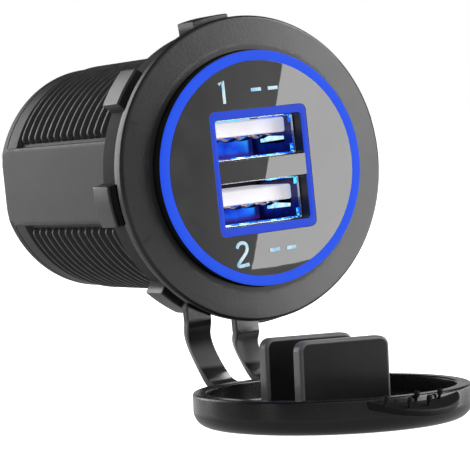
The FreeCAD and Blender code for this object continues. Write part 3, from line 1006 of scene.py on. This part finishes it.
@dataclass
class Assembly:
    """Pieces of one sub-assembly, kept by the look that they wear."""

    pieces: dict[str, list] = field(default_factory=lambda: defaultdict(list), init=False)

    def add(self, look: str, form: Form, name: str, slot: str, *replaced: str,
            body: Body | None = Body.SOCKET, sharp: float = 32.0) -> bpy.types.Object:
        """Build a form and keep it under its look.

        Args:
            look: name of its material in the palette.
            form: its shape.
            name: the piece's name.
            slot: handed on to Form.build, which does not use it.
            replaced: CAD nodes that it stands for.
            body: the Body it rides on, or None to leave it unattached.
            sharp: edges that turn more than this many degrees stay sharp.

        Returns:
            The new object.
        """
        piece = form.build(name, body, slot, replaced, sharp)
        self.pieces[look].append(piece)
        return piece

    def kept(self) -> dict[str, str]:
        """Look of each CAD node that stays in sight as it is."""
        return {}

    def build(self) -> None:
        """Draw the pieces; an assembly of CAD nodes alone has none."""
        log.info("%s: CAD nodes kept", type(self).__name__)

    def dress(self, palette: dict[str, bpy.types.Material]) -> None:
        """Give each piece and each kept CAD node the material of its look.

        Args:
            palette: the materials by look.
        """
        for look, pieces in self.pieces.items():
            wear(palette[look], *pieces)
        for node, look in self.kept().items():
            wear(palette[look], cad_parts[node])


@dataclass
class Barrel(Assembly):
    """Flange and ribbed barrel with two side flats; angles are in degrees."""

    flange_r: float = 18.5
    flange_front: float = -2.6
    flange_back: float = -1.3
    flange_rounds: tuple = (0.12, 0.45, 0.2)
    dish: float = 0.3
    seat_r: float = 14.25
    seat_y: float = -1.9
    bore_r: float = 12.6
    crest_r: float = 15.03
    root_r: float = 14.2
    land_r: float = 14.83
    foot_r: float = 15.23
    neck_end: float = 0.12
    first_root: float = 0.35
    flat_x: float = 14.12
    flat_z: float = 5.15
    flat_zs: tuple = (0, 1.3, 2.6, 3.7, 4.53, 4.95)
    flat_edge: tuple = ((0.05, 0.07), (0.2, 0.0))
    groove: float = 0.25
    rib_start: float = 22.9
    rib_run: float = 2.9
    rib_steps: tuple = (0.0, 0.04, 0.12, 0.25, 0.42, 0.66, 1.0)
    full_start: float = 27.3
    full_count: int = 41
    seam: float = 20.04
    pitch: float = 1.84
    rib_foot: float = 0.74
    rib_top: float = 0.2
    rib_rounds: tuple = (0.12, 0.14)
    last_rib: float = 32.3
    ribs: int = 17
    tail: tuple = (33.25, 33.6, 33.95)
    tail_rounds: tuple = (0.1, 0.3)
    rear: float = 36.9

    def columns(self) -> tuple[np.ndarray, np.ndarray, np.ndarray]:
        """Angles round the barrel: a quarter with flat, groove, rib ends and full ribs, mirrored.

        Returns:
            Angles in radians, radius of the flat's outline or nan beside it, and the share of
            the rib height, each of shape (n,).
        """
        side = np.array([[self.flat_x, z] for z in self.flat_zs]
                        + [[self.flat_x - inwards, self.flat_z - down] for inwards, down in self.flat_edge])
        foot = np.array([[math.sqrt(self.root_r ** 2 - z * z), z]
                         for z in (self.flat_z, self.flat_z + self.groove)])
        spots = np.concatenate([side, foot])
        step = np.array(self.rib_steps)
        full = np.linspace(self.full_start, 90, self.full_count)
        angle = np.concatenate([np.degrees(np.arctan2(spots[:, 1], spots[:, 0])),
                                self.rib_start + self.rib_run * step, full])
        flat = np.full(len(angle), np.nan)
        flat[:len(side)] = np.hypot(side[:, 0], side[:, 1])
        rise = np.concatenate([np.zeros(len(spots)), np.sqrt(1 - (1 - step) ** 2), np.ones(len(full))])
        quarter = np.stack([angle, flat, rise], 1)
        half = np.concatenate([quarter, quarter[::-1][1:] * [-1, 1, 1] + [180, 0, 0]])
        table = np.concatenate([half, half[1:-1] + [180, 0, 0]])
        return np.radians(table[:, 0]), table[:, 1], table[:, 2]

    def rows(self) -> np.ndarray:
        """Rows of the height field, from the bezel's seat round the flange to the rear end.

        Returns:
            Radius, place along Y and zone of each row, shape (n, 3). Zones: 0 round, 1 cut by
            the flats, 2 ribs that follow the helix, 3 plain beside the flats.
        """
        inner, rim, back = self.flange_rounds
        head = rounded([(self.seat_r, self.seat_y), (self.seat_r, self.flange_front - self.dish, inner),
                        (self.flange_r, self.flange_front, rim), (self.flange_r, self.flange_back, back),
                        (self.foot_r, self.flange_back)], closed=False)
        neck = np.array([[self.land_r, self.flange_back], [self.land_r, self.neck_end]])
        foot_round, top_round = self.rib_rounds
        tooth = rounded([(self.root_r, -self.pitch / 2), (self.root_r, -self.rib_foot, foot_round),
                         (self.crest_r, -self.rib_top, top_round), (self.crest_r, self.rib_top, top_round),
                         (self.root_r, self.rib_foot, foot_round)], closed=False)
        centres = self.last_rib - self.pitch * np.arange(self.ribs - 1, -1, -1)
        ribs = (tooth[None] + np.stack([np.zeros(self.ribs), centres], 1)[:, None]).reshape(-1, 2)
        start, foot, land = self.tail
        small, large = self.tail_rounds
        tail = rounded([(self.root_r, start), (self.root_r, foot, small), (self.land_r, land, small),
                        (self.land_r, self.rear, large), (self.bore_r, self.rear)], closed=False)
        root = np.array([[self.root_r, self.first_root]])
        bore = np.array([[self.bore_r, self.seat_y]])
        groups = ((head, 0), (neck, 1), (root, 3), (ribs, 2), (tail[:-1], 3), (tail[-1:], 0), (bore, 0))
        table = [np.column_stack([points, np.full(len(points), zone)]) for points, zone in groups]
        return np.concatenate(table)

    def build(self) -> None:
        """Height field round the axis: radius from the row's profile, the flats and the rib ends.

        The ribs go back by one pitch in a turn, and the helix closes on the flat at +X.
        """
        angle, flat, rise = self.columns()
        table = self.rows()
        radius = np.broadcast_to(table[:, 0][:, None], (len(table), len(angle))).copy()
        zone = np.broadcast_to(table[:, 2][:, None], radius.shape)
        on_flat = np.broadcast_to(~np.isnan(flat), radius.shape)
        plane = self.flat_x / np.maximum(abs(np.cos(angle)), 1e-6)
        radius = np.where(zone == 1, np.minimum(radius, plane), radius)
        radius = np.where(zone == 2, self.root_r + rise * (radius - self.root_r), radius)
        radius = np.where(on_flat & (zone >= 2), np.nan_to_num(flat), radius)
        turn = np.degrees(angle)
        lead = -self.pitch * (turn - 180) / 360
        near = np.minimum(np.minimum(turn, 360 - turn) / self.seam, 1)
        y = table[:, 1][:, None] + np.where(zone == 2, lead * near, 0)
        grid = np.stack([radius * np.cos(angle), y, radius * np.sin(angle)], -1)
        form = Form().grid(grid, close_rows=True)
        self.add("barrel", form, "barrel", "housing_plastic", "housing", sharp=40)

    def kept(self) -> dict[str, str]:
        """The rear cover, of the same moulded plastic."""
        return {"rear_cover": "barrel"}


@dataclass
class RingNut(Assembly):
    """Lugged ring nut behind the rubber ring; angles are in degrees."""

    bore: float = 15.1
    body_r: float = 17.5
    lug_r: float = 19.0
    thick: float = 3.9
    edge: float = 0.25
    chamfer: float = 0.3
    lugs: int = 8
    lug_angle: float = 16.0
    flank: float = 0.9
    flank_out: float = 0.35
    first: float = 98.0
    columns: int = 720

    def build(self) -> None:
        """Cross-section carried round the axis, its rim moved out at the lugs along an S-curve."""
        angle = np.linspace(0, 2 * math.pi, self.columns, endpoint=False)
        apart = 360 / self.lugs
        off = np.abs((np.degrees(angle) - self.first + apart / 2) % apart - apart / 2)
        share = np.clip((self.lug_angle / 2 + self.flank_out - off) / self.flank, 0, 1)
        rim = self.body_r + (self.lug_r - self.body_r) * share * share * (3 - 2 * share)
        wide = self.bore + self.chamfer
        inner = np.array([[wide, self.thick], [self.bore, self.thick - self.chamfer],
                          [self.bore, self.chamfer], [wide, 0.0]])
        outer = np.stack([np.stack([rim - step, np.full(self.columns, y)], -1)
                          for step, y in edge_steps(0.0, self.thick, self.edge)])
        ring = np.broadcast_to(inner[:, None], (len(inner), self.columns, 2))
        profile = np.concatenate([outer, ring])
        grid = np.stack([profile[..., 0] * np.cos(angle), profile[..., 1],
                         profile[..., 0] * np.sin(angle)], -1)
        self.add("nut", Form().grid(grid, close_rows=True), "ring_nut_lugged", "nut_plastic", "ring_nut")


@dataclass
class Straps(Assembly):
    """Rubber ring behind the flange and the two flat straps that carry the cap."""

    ring_r: float = 18.0
    inner_r: float = 15.13
    ring_back: float = 0.0
    ring_front: float = -1.28
    ring_round: float = 0.12
    width: float = 3.3
    thick: float = 1.15
    edge: float = 0.16
    flange_r: float = 18.5
    roots: tuple = (-9.1, -2.5)
    ends: tuple = (-4.8, 1.8)
    root_drop: float = 1.2
    y_root: float = -0.625
    y_end: float = -0.08
    z_end: float = -26.315
    bow: tuple = ((0.65, 0.14), (1.60, 0.30), (2.35, 0.46), (2.85, 0.62), (3.05, 0.78), (2.65, 0.93))
    approach: tuple = (1.0, 0.04)
    in_ring: tuple = (2.9, 0.3, 5)
    in_cap: tuple = (0.4, 2.1, 4)
    stations: int = 61
    cut: int = 28

    def route(self, x_top: float, x_end: float) -> tuple[np.ndarray, int]:
        """Centre line of a strap: out of the ring, back in a bow, to the cap's wall.

        Args:
            x_top: place across at the ring.
            x_end: place across at the cap.

        Returns:
            Stations, shape (n, 3), and the number of the one where the strap is cut in two.
        """
        top = -math.sqrt(self.flange_r ** 2 - x_top ** 2) - self.root_drop
        drop = top - self.z_end
        points = [(0, self.y_root, top)]
        points += [(0, self.y_root + back, top - share * drop) for back, share in self.bow]
        before, above = self.approach
        points += [(0, self.y_end + before, self.z_end + above), (0, self.y_end, self.z_end)]
        line = smooth_line(points, self.stations, (0, 0.05, -1), (0, -1, 0))
        share = np.linspace(0, 1, self.stations)
        line[:, 0] = x_top + (x_end - x_top) * share * share * (3 - 2 * share)
        deep, shallow, count = self.in_ring
        start = np.array([[x_top, self.y_root, z] for z in np.linspace(top + deep, top + shallow, count)])
        shallow, deep, tail = self.in_cap
        end = np.array([[x_end, y, self.z_end]
                        for y in np.linspace(self.y_end - shallow, self.y_end - deep, tail)])
        return np.concatenate([start, line, end]), count + self.cut

    def build(self) -> None:
        """Ring, and each strap as an upper and a lower piece that meet in the bow."""
        profile = rounded([(self.inner_r, self.ring_front), (self.ring_r, self.ring_front, self.ring_round),
                           (self.ring_r, self.ring_back, self.ring_round), (self.inner_r, self.ring_back)])
        ring = Form().grid(revolved(profile), close_rows=True)
        self.add("rubber", ring, "rubber_ring", "cap_rubber", "cap_ring", "cap_straps")
        across = np.array([1.0, 0, 0])
        for side, x_top, x_end in zip(("left", "right"), self.roots, self.ends):
            line, cut = self.route(x_top, x_end)
            grid = ribbon(line, across, self.width, self.thick, self.edge)
            upper, lower = Form().closed(grid[:cut + 1]), Form().closed(grid[cut:])
            top = self.add("strap", upper, "strap_upper_" + side, "cap_rubber", body=None)
            low = self.add("strap", lower, "strap_lower_" + side, "cap_rubber", body=None)
            first, meet, last = (tuple(line[i] * MM) for i in (self.in_ring[2] - 1, cut, -3))
            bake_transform(top)
            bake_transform(low)


@dataclass
class DustCap(Assembly):
    """Round rubber cap with two plug plates, a grip tab and nubs, drawn shut and then opened."""

    radius: float = 16.07
    wall: float = 1.67
    height: float = 3.9
    depth: float = 2.6
    rim: float = -10.66
    rounds: tuple = (1.9, 0.3, 0.25, 0.5)
    plate_width: float = 11.8
    plate_thick: float = 1.95
    plate_reach: float = 5.7
    plate_corner: float = 1.2
    plate_edge: float = 0.38
    plate_root: float = 0.4
    plate_zs: tuple = (2.555, -5.555)
    tab_half: float = 6.5
    tab_reach: float = 2.7
    tab_thick: float = 0.85
    tab_edge: float = 0.2
    tab_root: tuple = (0.1, 0.9)
    tab_below: float = 0.25
    tab_droop: float = 17.0
    tab_turn: float = 7.0
    nub: tuple = ((0, 1.15), (0.32, 1.15, 0.3), (0.32, 0.55, 0.26), (0.17, 0.5, 0.04), (0.17, -0.3),
                  (0, -0.3))
    nubs: tuple = ((-5.2, 0.35), (-2.8, 1.45), (-0.1, 1.45), (-0.7, 0.0), (2.5, 0.1))

    def opened(self, form: Form) -> Form:
        """Turn a form a quarter about the hinge, from shut to open.

        Args:
            form: a piece of the shut cap.

        Returns:
            The same form, moved.
        """
        there = Matrix.Translation(Vector(HINGE))
        turn = Matrix.Rotation(math.radians(90), 4, Vector(HINGE_AXIS))
        return form.moved(there @ turn @ there.inverted())

    def cup(self) -> Form:
        """Cup with a well rounded bottom edge: one profile turned about the axis.

        Returns:
            Its form, shut.
        """
        y, inner = self.rim, self.radius - self.wall
        bottom, outside, inside, floor = self.rounds
        profile = rounded([(0, y - self.height), (self.radius, y - self.height, bottom),
                           (self.radius, y, outside), (inner, y, inside), (inner, y - self.depth, floor),
                           (0, y - self.depth)], closed=False, step=12)
        return Form().grid(revolved(profile, 200), close_rows=True, close_cols=False)

    def plate(self, z: float) -> Form:
        """Plug plate: rounded outline in the XY plane with soft edges.

        Args:
            z: height of its middle.

        Returns:
            Its form, shut.
        """
        half, tip = self.plate_width / 2, self.rim + self.plate_reach
        low = self.rim - self.depth - self.plate_root
        loop = rounded([(-half, low), (half, low), (half, tip, self.plate_corner),
                        (-half, tip, self.plate_corner)], step=10)
        steps = edge_steps(z - self.plate_thick / 2, z + self.plate_thick / 2, self.plate_edge, 5)
        rings = np.stack([inset(loop, step[0]) for step in steps])
        level = np.broadcast_to(steps[:, 1][:, None], rings.shape[:2])
        return Form().closed(np.stack([rings[..., 0], rings[..., 1], level], -1))

    def tab(self) -> Form:
        """Grip tab with its nubs, drooped and turned on the rim.

        Its outline is an arc through both ends of the root and the peak: with half width h and
        sag s its radius is (h^2 + s^2) / 2s.

        Returns:
            Its form, shut.
        """
        root = math.sqrt(self.radius ** 2 - self.tab_half ** 2)
        peak = self.radius + self.tab_reach
        sag = peak - root
        bend = (self.tab_half ** 2 + sag ** 2) / (2 * sag)
        spread = math.asin(self.tab_half / bend)
        angle = np.linspace(-spread, spread, 33)
        arc = np.stack([bend * np.sin(-angle), peak - bend + bend * np.cos(angle)], 1)
        side, inwards = self.tab_root
        loop = np.concatenate([arc, [[-self.tab_half + side, root - inwards],
                                     [self.tab_half - side, root - inwards]]])
        form = Form().slab(loop, -self.tab_thick, 0.0, self.tab_edge)
        nub = revolved(rounded(self.nub, closed=False), 20)
        for x, out in self.nubs:
            form.grid(nub + np.array([x, 0, self.radius + out]), close_rows=True, close_cols=False)
        lift = Matrix.Translation((0, self.rim - self.tab_below, root))
        droop = lift @ Matrix.Rotation(math.radians(self.tab_droop), 4, "X")
        form.moved(droop @ Matrix.Translation((0, 0, -root)))
        return form.moved(Matrix.Rotation(math.radians(self.tab_turn), 4, "Y"))

    def build(self) -> None:
        """The cap's pieces, opened to the rest pose."""
        upper, lower = self.plate_zs
        parts = (("rubber", "cap_cup", self.cup()), ("plate", "cap_plate_upper", self.plate(upper)),
                 ("plate", "cap_plate_lower", self.plate(lower)), ("tab", "cap_tab", self.tab()))
        for look, name, form in parts:
            self.add(look, self.opened(form), name, "cap_rubber", "dust_cap", body=Body.CAP)


@dataclass
class Face(Assembly):
    """Lit ring and port frame, glossy label with its bar and marks, and the windows' black sleeves."""

    face: float = -4.46
    ring_out: float = 14.15
    ring_in: float = 12.97
    ring_foot: float = 13.85
    ring_lip: float = 0.36
    ring_rounds: tuple = (0.05, 0.14)
    depth: float = 0.9
    frame_width: float = 13.66
    frame_height: float = 14.92
    frame_corner: float = 0.8
    frame_deep: float = 0.26
    frame_z: float = -0.25
    film_gap: float = 0.03
    film_drop: float = 0.01
    film_deep: float = 0.25
    window_width: float = 12.3
    window_corner: float = 0.45
    windows: tuple = ((1.23, 6.23), (-6.73, -1.37))
    bar_height: float = 2.6
    bar_z: float = -0.07
    bar_corner: float = 0.08
    sleeve_wall: float = 0.09
    sleeve_ends: tuple = (0.27, 0.95)
    edges: tuple = (0.04, 0.03, 0.02)
    stroke: tuple = (0.05, 0.42, 0.02)
    mark_proud: float = 0.015
    columns: int = 240

    def build(self) -> None:
        """All pieces of the front."""
        angle = np.linspace(0, 2 * math.pi, self.columns, endpoint=False)
        y, back, lip = self.face, self.face + self.depth, self.face + self.ring_lip
        inner, outer = self.ring_rounds
        profile = rounded([(self.ring_in, y, inner), (self.ring_out, y, outer), (self.ring_out, lip),
                           (self.ring_foot, lip), (self.ring_foot, back), (self.ring_in, back)])
        ring = Form().grid(revolved(profile, self.columns), close_rows=True)
        self.add("ring", ring, "light_ring", "light_guide_plastic", "light_guide")
        half_w, half_h = self.window_width / 2, (self.windows[0][1] - self.windows[1][0]) / 2
        hole = ray_loop(angle, half_w, half_h, self.window_corner, self.frame_z)
        half_w, half_h = self.frame_width / 2, self.frame_height / 2
        edge = ray_loop(angle, half_w, half_h, self.frame_corner, self.frame_z)
        large, fine, _ = self.edges
        lit = Form().band(edge, hole, y, y + self.frame_deep, large)
        self.add("frame", lit, "light_frame", "light_guide_plastic", "light_guide")
        round_in = circle_loop(self.ring_in - self.film_gap, angle)
        gap = ray_loop(angle, half_w + self.film_gap, half_h + self.film_gap, self.frame_corner, self.frame_z)
        top = y + self.film_drop
        panel = Form().band(round_in, gap, top, y + self.film_deep, fine)
        self.add("label", panel, "label_panel", "label_film", "face_label")
        bar = box_loop(self.window_width, self.bar_height, self.bar_corner, 0, self.bar_z)
        self.add("label", Form().slab(bar, top, back, large), "label_bar", "label_film", "face_label")
        self.build_sleeves()
        self.build_marks()

    def build_sleeves(self) -> None:
        """Black inner walls of the two windows through the lit plate."""
        for name, (low, high) in zip(("upper", "lower"), self.windows):
            z, wide = (low + high) / 2, 2 * self.sleeve_wall
            outer = box_loop(self.window_width + wide, high - low + wide, self.window_corner, 0, z)
            inner = box_loop(self.window_width, high - low, self.window_corner - self.sleeve_wall, 0, z)
            front, back = self.sleeve_ends
            sleeve = Form().band(outer, inner, self.face + front, self.face + back, self.edges[2])
            self.add("black", sleeve, "window_sleeve_" + name, "bezel_plastic")

    def build_marks(self) -> None:
        """Plain digits and short bars above and below the ports, as flat strokes."""
        one = [[(-0.55, 0.95), (0.05, 1.35), (0.05, -1.35)]]
        two = [[(-0.7, 0.75), (-0.45, 1.2), (0.1, 1.35), (0.6, 1.1), (0.7, 0.6), (0.4, 0.0), (-0.75, -1.3),
                (0.8, -1.3)]]
        bars = [[(-1.9, 0.0), (-0.5, 0.0)], [(0.5, 0.0), (1.9, 0.0)]]
        form = Form()
        for strokes, x, z in ((one, -4.6, 9.45), (bars, 1.2, 9.45), (two, -4.2, -9.95), (bars, 1.6, -9.95)):
            for stroke in strokes:
                line = np.array([(x + a, self.face - self.mark_proud, z + b) for a, b in stroke])
                fine = smooth_line(line, 24) if len(line) > 3 else line
                form.closed(ribbon(fine, np.array([0.0, 1.0, 0.0]), *self.stroke))
        self.add("marks", form, "label_marks", "label_film")

    def kept(self) -> dict[str, str]:
        """The bezel, in black plastic."""
        return {"front_bezel": "black"}


@dataclass
class Port(Assembly):
    """One USB port: lip, spring leaves, tongue, back glowing with painted light, contacts and painted glints.
    """

    name: str
    low: float
    high: float
    tongue_low: float
    tongue_high: float
    leaf_drop: float
    mouth: float = -2.36
    block: float = 7.14
    rear: float = 10.64
    shell_width: float = 12.2
    shell_wall: float = 0.15
    lip_flare: float = 0.03
    lip_ends: tuple = (-0.25, 0.2)
    lip_edge: float = 0.08
    outer_corner: float = 0.3
    inner_corner: float = 0.25
    tongue_width: float = 11.1
    tongue_start: float = 0.9
    tongue_edge: float = 0.2
    block_edge: float = 0.1
    contact_xs: tuple = (-3.5, -1.0, 1.0, 3.5)
    contact_start: float = 1.5
    contact_gap: float = 0.09
    contact: tuple = (0.9, 0.16, 0.04)
    hump: tuple = (0.5, 0.18, 0.11)
    leaf_start: float = 2.3
    leaf_length: float = 5.4
    leaf_bulge: float = 0.45
    leaf_widths: tuple = (0.42, 0.92)
    leaf_section: tuple = (0.14, 0.05)
    glint_start: float = 0.45
    glint_inset: float = 0.2
    glint_section: tuple = (0.5, 0.12, 0.04)
    glint_swell: float = 0.1

    def build(self) -> None:
        """The port's pieces."""
        z, height = (self.low + self.high) / 2, self.high - self.low
        width, wall = self.shell_width, 2 * self.shell_wall
        outer = box_loop(width + 2 * self.lip_flare, height - 0.02, self.outer_corner, 0, z)
        inner = box_loop(width - wall, height - wall, self.inner_corner, 0, z)
        front, back = self.lip_ends
        lip = Form().band(outer, inner, self.mouth + front, self.mouth + back, self.lip_edge)
        self.add("chrome", lip, "usb_lip_" + self.name, "shell_steel")
        self.build_leaves(z - self.leaf_drop)
        middle, thick = (self.tongue_low + self.tongue_high) / 2, self.tongue_high - self.tongue_low
        tongue = box_loop(self.tongue_width, thick, self.outer_corner, 0, middle)
        start, in_block = self.mouth + self.tongue_start, self.block + 0.3
        slab = Form().slab(tongue, start, in_block, self.tongue_edge)
        self.add("white", slab, "usb_blade_" + self.name, "tongue_plastic", "usb_tongue_" + self.name)
        edge = self.block_edge
        block = box_loop(width - edge, height - edge, 2 * edge, 0, z)
        self.add("back_" + self.name, Form().slab(block, self.block, self.rear, edge),
                 "usb_back_" + self.name, "tongue_plastic", "usb_tongue_" + self.name)
        self.build_contacts()
        self.build_glints()

    def build_glints(self) -> None:
        """Slim glowing beads inside the mouth, along the floor and up to the tongue's end, that stand for
        painted reflections.
        """
        half, y = self.shell_width / 2 - self.shell_wall, self.mouth + self.glint_start
        low, high = self.low + self.glint_inset, self.high - self.glint_inset
        wide, thin, corner = self.glint_section
        count = 12
        share = np.linspace(0, 1, count)[:, None]
        thick = thin + self.glint_swell * np.sin(np.linspace(0, 9, count)) ** 2
        # The beads are painted reflections.
        form = Form()
        for a, b in (((-half + 1.0, low), (half - 0.3, low)), ((half, low + 0.1), (half, low + 1.1)),
                     ((1.5, high), (half - 0.2, high)), ((half, high - 0.9), (half, high - 0.1))):
            line = np.array([a[0], y, a[1]]) * (1 - share) + np.array([b[0], y, b[1]]) * share
            form.closed(ribbon(line, np.array([0.0, 1.0, 0.0]), wide, thick, corner))
        self.add("glint", form, "usb_glint_" + self.name, "shell_steel")

    def build_leaves(self, z: float) -> None:
        """Tapered spring leaves that bulge out of the shell's side windows.

        Args:
            z: their height.
        """
        count = 22
        share = np.linspace(0, 1, count)
        bulge = self.leaf_bulge * np.sin(math.pi * np.clip(share * 0.95 + 0.05, 0, 1)) ** 0.8
        root, tip = self.leaf_widths
        width = root + (tip - root) * share
        for side, sign in (("left", -1), ("right", 1)):
            line = np.stack([sign * (self.shell_width / 2 - bulge + 0.1),
                             self.mouth + self.leaf_start + self.leaf_length * share, np.full(count, z)], 1)
            leaf = Form().closed(ribbon(line, np.array([0, 0, 1.0]), width, *self.leaf_section))
            self.add("leaf", leaf, "usb_leaf_%s_%s" % (side, self.name), "shell_steel")

    def build_contacts(self) -> None:
        """Four sprung contacts under the tongue, each with a bell-shaped hump near its tip."""
        count = 28
        share = np.linspace(0, 1, count)
        height, middle, width = self.hump
        hump = height * np.exp(-((share - middle) / width) ** 2)
        start, end = self.mouth + self.contact_start, self.rear + 1.0
        form = Form()
        for x in self.contact_xs:
            z = self.tongue_low - self.contact_gap - hump
            line = np.stack([np.full(count, x), start + (end - start) * share, z], 1)
            form.closed(ribbon(line, np.array([1.0, 0, 0]), *self.contact))
        self.add("contact", form, "usb_pins_" + self.name, "contact_metal", "usb_contacts_" + self.name)

    def kept(self) -> dict[str, str]:
        """The shell, in metal painted dark and blue: painted shade and painted blue light."""
        return {"usb_shell_" + self.name: "shell"}


@dataclass
class Inside(Assembly):
    """CAD nodes that keep their shapes: board, electronics and terminals."""

    def kept(self) -> dict[str, str]:
        """A look for each of them."""
        return {"circuit_board": "board", "blue_leds": "lamp", "inductor_core": "ferrite",
                "inductor_winding": "copper", "capacitors": "can", "control_chips": "chip",
                "positive_terminal": "terminal", "negative_terminal": "terminal"}


# Stage.


@dataclass(frozen=True)
class Lamp:
    """Rectangular soft light, in millimetres and watts, aimed at a point and turned about its own axis."""

    name: str
    size: tuple[float, float]
    power: float
    place: tuple[float, float, float]
    target: tuple[float, float, float] = (0, 0, 0)
    spin: float = 0.0

    def build(self) -> None:
        """Put the light into the scene."""
        data = bpy.data.lights.new(self.name, "AREA")
        data.shape = "RECTANGLE"
        data.size, data.size_y = self.size[0] * MM, self.size[1] * MM
        data.energy = self.power
        lamp = bpy.data.objects.new(self.name, data)
        place = Vector(self.place)
        aim = (place - Vector(self.target)).to_track_quat("Z", "Y").to_matrix().to_4x4()
        spin = Matrix.Rotation(math.radians(self.spin), 4, "Z")
        lamp.matrix_world = Matrix.Translation(place * MM) @ aim @ spin
        bpy.context.scene.collection.objects.link(lamp)


@dataclass
class Stage:
    """Camera as in the photograph, white surroundings and soft lights."""

    eye: tuple = (-134.376, -217.192, 7.251)
    turn: float = -31.31
    rise: float = 3.40
    roll: float = 0.102
    lens: float = 160.375
    sensor: float = 36.0
    floor_z: float = -48.0
    floor_half: float = 4000.0
    lamps: tuple = (Lamp("softbox", (250, 560), 3.2, (426, -390, 150), (426, 0, 150), -17.1),
                    Lamp("key", (300, 300), 1.8, (462, -204, 324)),
                    Lamp("left", (90, 420), 0.2, (-560, -60, -40)),
                    Lamp("left_back", (300, 600), 1.5, (-180, 500, 60)))

    def camera(self) -> None:
        """Camera turned by its compass angle, its rise and the sine of its roll."""
        a, e = math.radians(self.turn), math.radians(self.rise)
        back = Vector((math.sin(a) * math.cos(e), -math.cos(a) * math.cos(e), math.sin(e)))
        right = (-back).cross(Vector((0, 0, 1))).normalized()
        down = (-back).cross(right).normalized()
        keep = math.sqrt(1 - self.roll ** 2)
        side = right * keep + down * self.roll
        up = -(down * keep - right * self.roll)
        view = Matrix((side, up, back)).transposed().to_4x4()
        view.translation = Vector(self.eye) * MM
        data = bpy.data.cameras.new("camera")
        data.lens = self.lens
        data.sensor_width = self.sensor
        data.clip_start = 0.01
        camera = bpy.data.objects.new("camera", data)
        camera.matrix_world = view
        bpy.context.scene.collection.objects.link(camera)
        bpy.context.scene.camera = camera

    def world(self) -> None:
        """World that is white to the camera and mid-grey as light.

        Glossy surfaces see it dark, with pale stretches at the left, low behind and in front.
        """
        world = bpy.data.worlds.new("studio")
        bpy.context.scene.world = world
        world.use_nodes = True
        tree = world.node_tree
        scape = Scape(tree)
        x, y, z = scape.direction()
        shiny = scape.ray("Is Glossy Ray")
        left = x.ramp(0.15, -0.3) * (y.ramp(0.4, 0.85) * 0.93 + 0.07)
        horizon = (z * z).ramp(0.03, 0.004) * y.ramp(0.3, 0.7)
        front = y.ramp(-0.3, -0.7) * z.ramp(0.0, 0.3) * 0.7
        lit = (left + horizon + front).clamp()
        seen = scape.ray("Is Camera Ray") + scape.ray("Is Transmission Ray") + shiny * lit
        plain = scape.mix(shiny, grey(0.5), grey(0.04))
        colour = scape.mix(seen.clamp(), plain, grey(1.0))
        tree.links.new(colour.socket, tree.nodes["Background"].inputs["Color"])

    def floor_material(self) -> bpy.types.Material:
        """Pale to the camera, dark as a source of bounced light, pooled with light to gloss.

        Distances are in millimetres: `away` from the origin, `ahead` along the camera's view
        mirrored in the label, and `aside` across that.

        Returns:
            The material.
        """
        recipe = Recipe("floor_pale", Roughness=0.9, Specular_IOR_Level=0.0, Emission_Strength=7.0)
        seen, shiny = recipe.ray("Is Camera Ray"), recipe.ray("Is Glossy Ray")
        tone = recipe.mix(recipe.noise(60.0), grey(0.90), grey(0.93))
        x, y, _ = recipe.axes()
        away = (x * x + y * y) ** 0.5
        far = (away.ramp(50.0, 160.0) * 0.85 + 0.15) * seen * 0.1286
        ahead, aside = x * 0.53 - y * 0.85, x * 0.85 + y * 0.53
        pool = ahead.ramp(75.0, 135.0) * ahead.ramp(320.0, 270.0) * aside.ramp(-14.0, 4.0)
        halo = away.ramp(90.0, 200.0) * away.ramp(400.0, 200.0) * 0.08 + away.ramp(300.0, 200.0) * 0.07
        glow = recipe.mix((far + (halo + pool) * shiny).clamp(), grey(0.0), grey(1.0))
        return recipe.drive(Base_Color=recipe.mix(seen, grey(0.05), tone), Emission_Color=glow)

    def floor(self) -> None:
        """Wide floor, well below the part."""
        half, z = self.floor_half, self.floor_z
        corners = np.array([(-half, -half, z), (half, -half, z), (half, half, z), (-half, half, z)])
        mesh = bpy.data.meshes.new("floor")
        mesh.from_pydata((corners * MM).tolist(), [], [[0, 1, 2, 3]])
        floor = bpy.data.objects.new("floor", mesh)
        bpy.context.scene.collection.objects.link(floor)
        wear(self.floor_material(), floor)

    def build(self) -> None:
        """Set the scene up."""
        self.camera()
        self.world()
        self.floor()
        for lamp in self.lamps:
            lamp.build()
        bpy.context.scene.view_settings.view_transform = "Standard"


def main() -> None:
    """Build and dress every sub-assembly, then set the stage."""
    logging.basicConfig(level=logging.INFO, format="%(message)s")
    palette = make_palette()
    ports = (Port("upper", 1.23, 6.23, 4.03, 5.87, 0.45), Port("lower", -6.73, -1.37, -4.23, -2.39, 1.0))
    for assembly in (Barrel(), RingNut(), Straps(), DustCap(), Face(), *ports, Inside()):
        assembly.build()
        assembly.dress(palette)
    Stage().build()


if __name__ == "__main__":
    main()
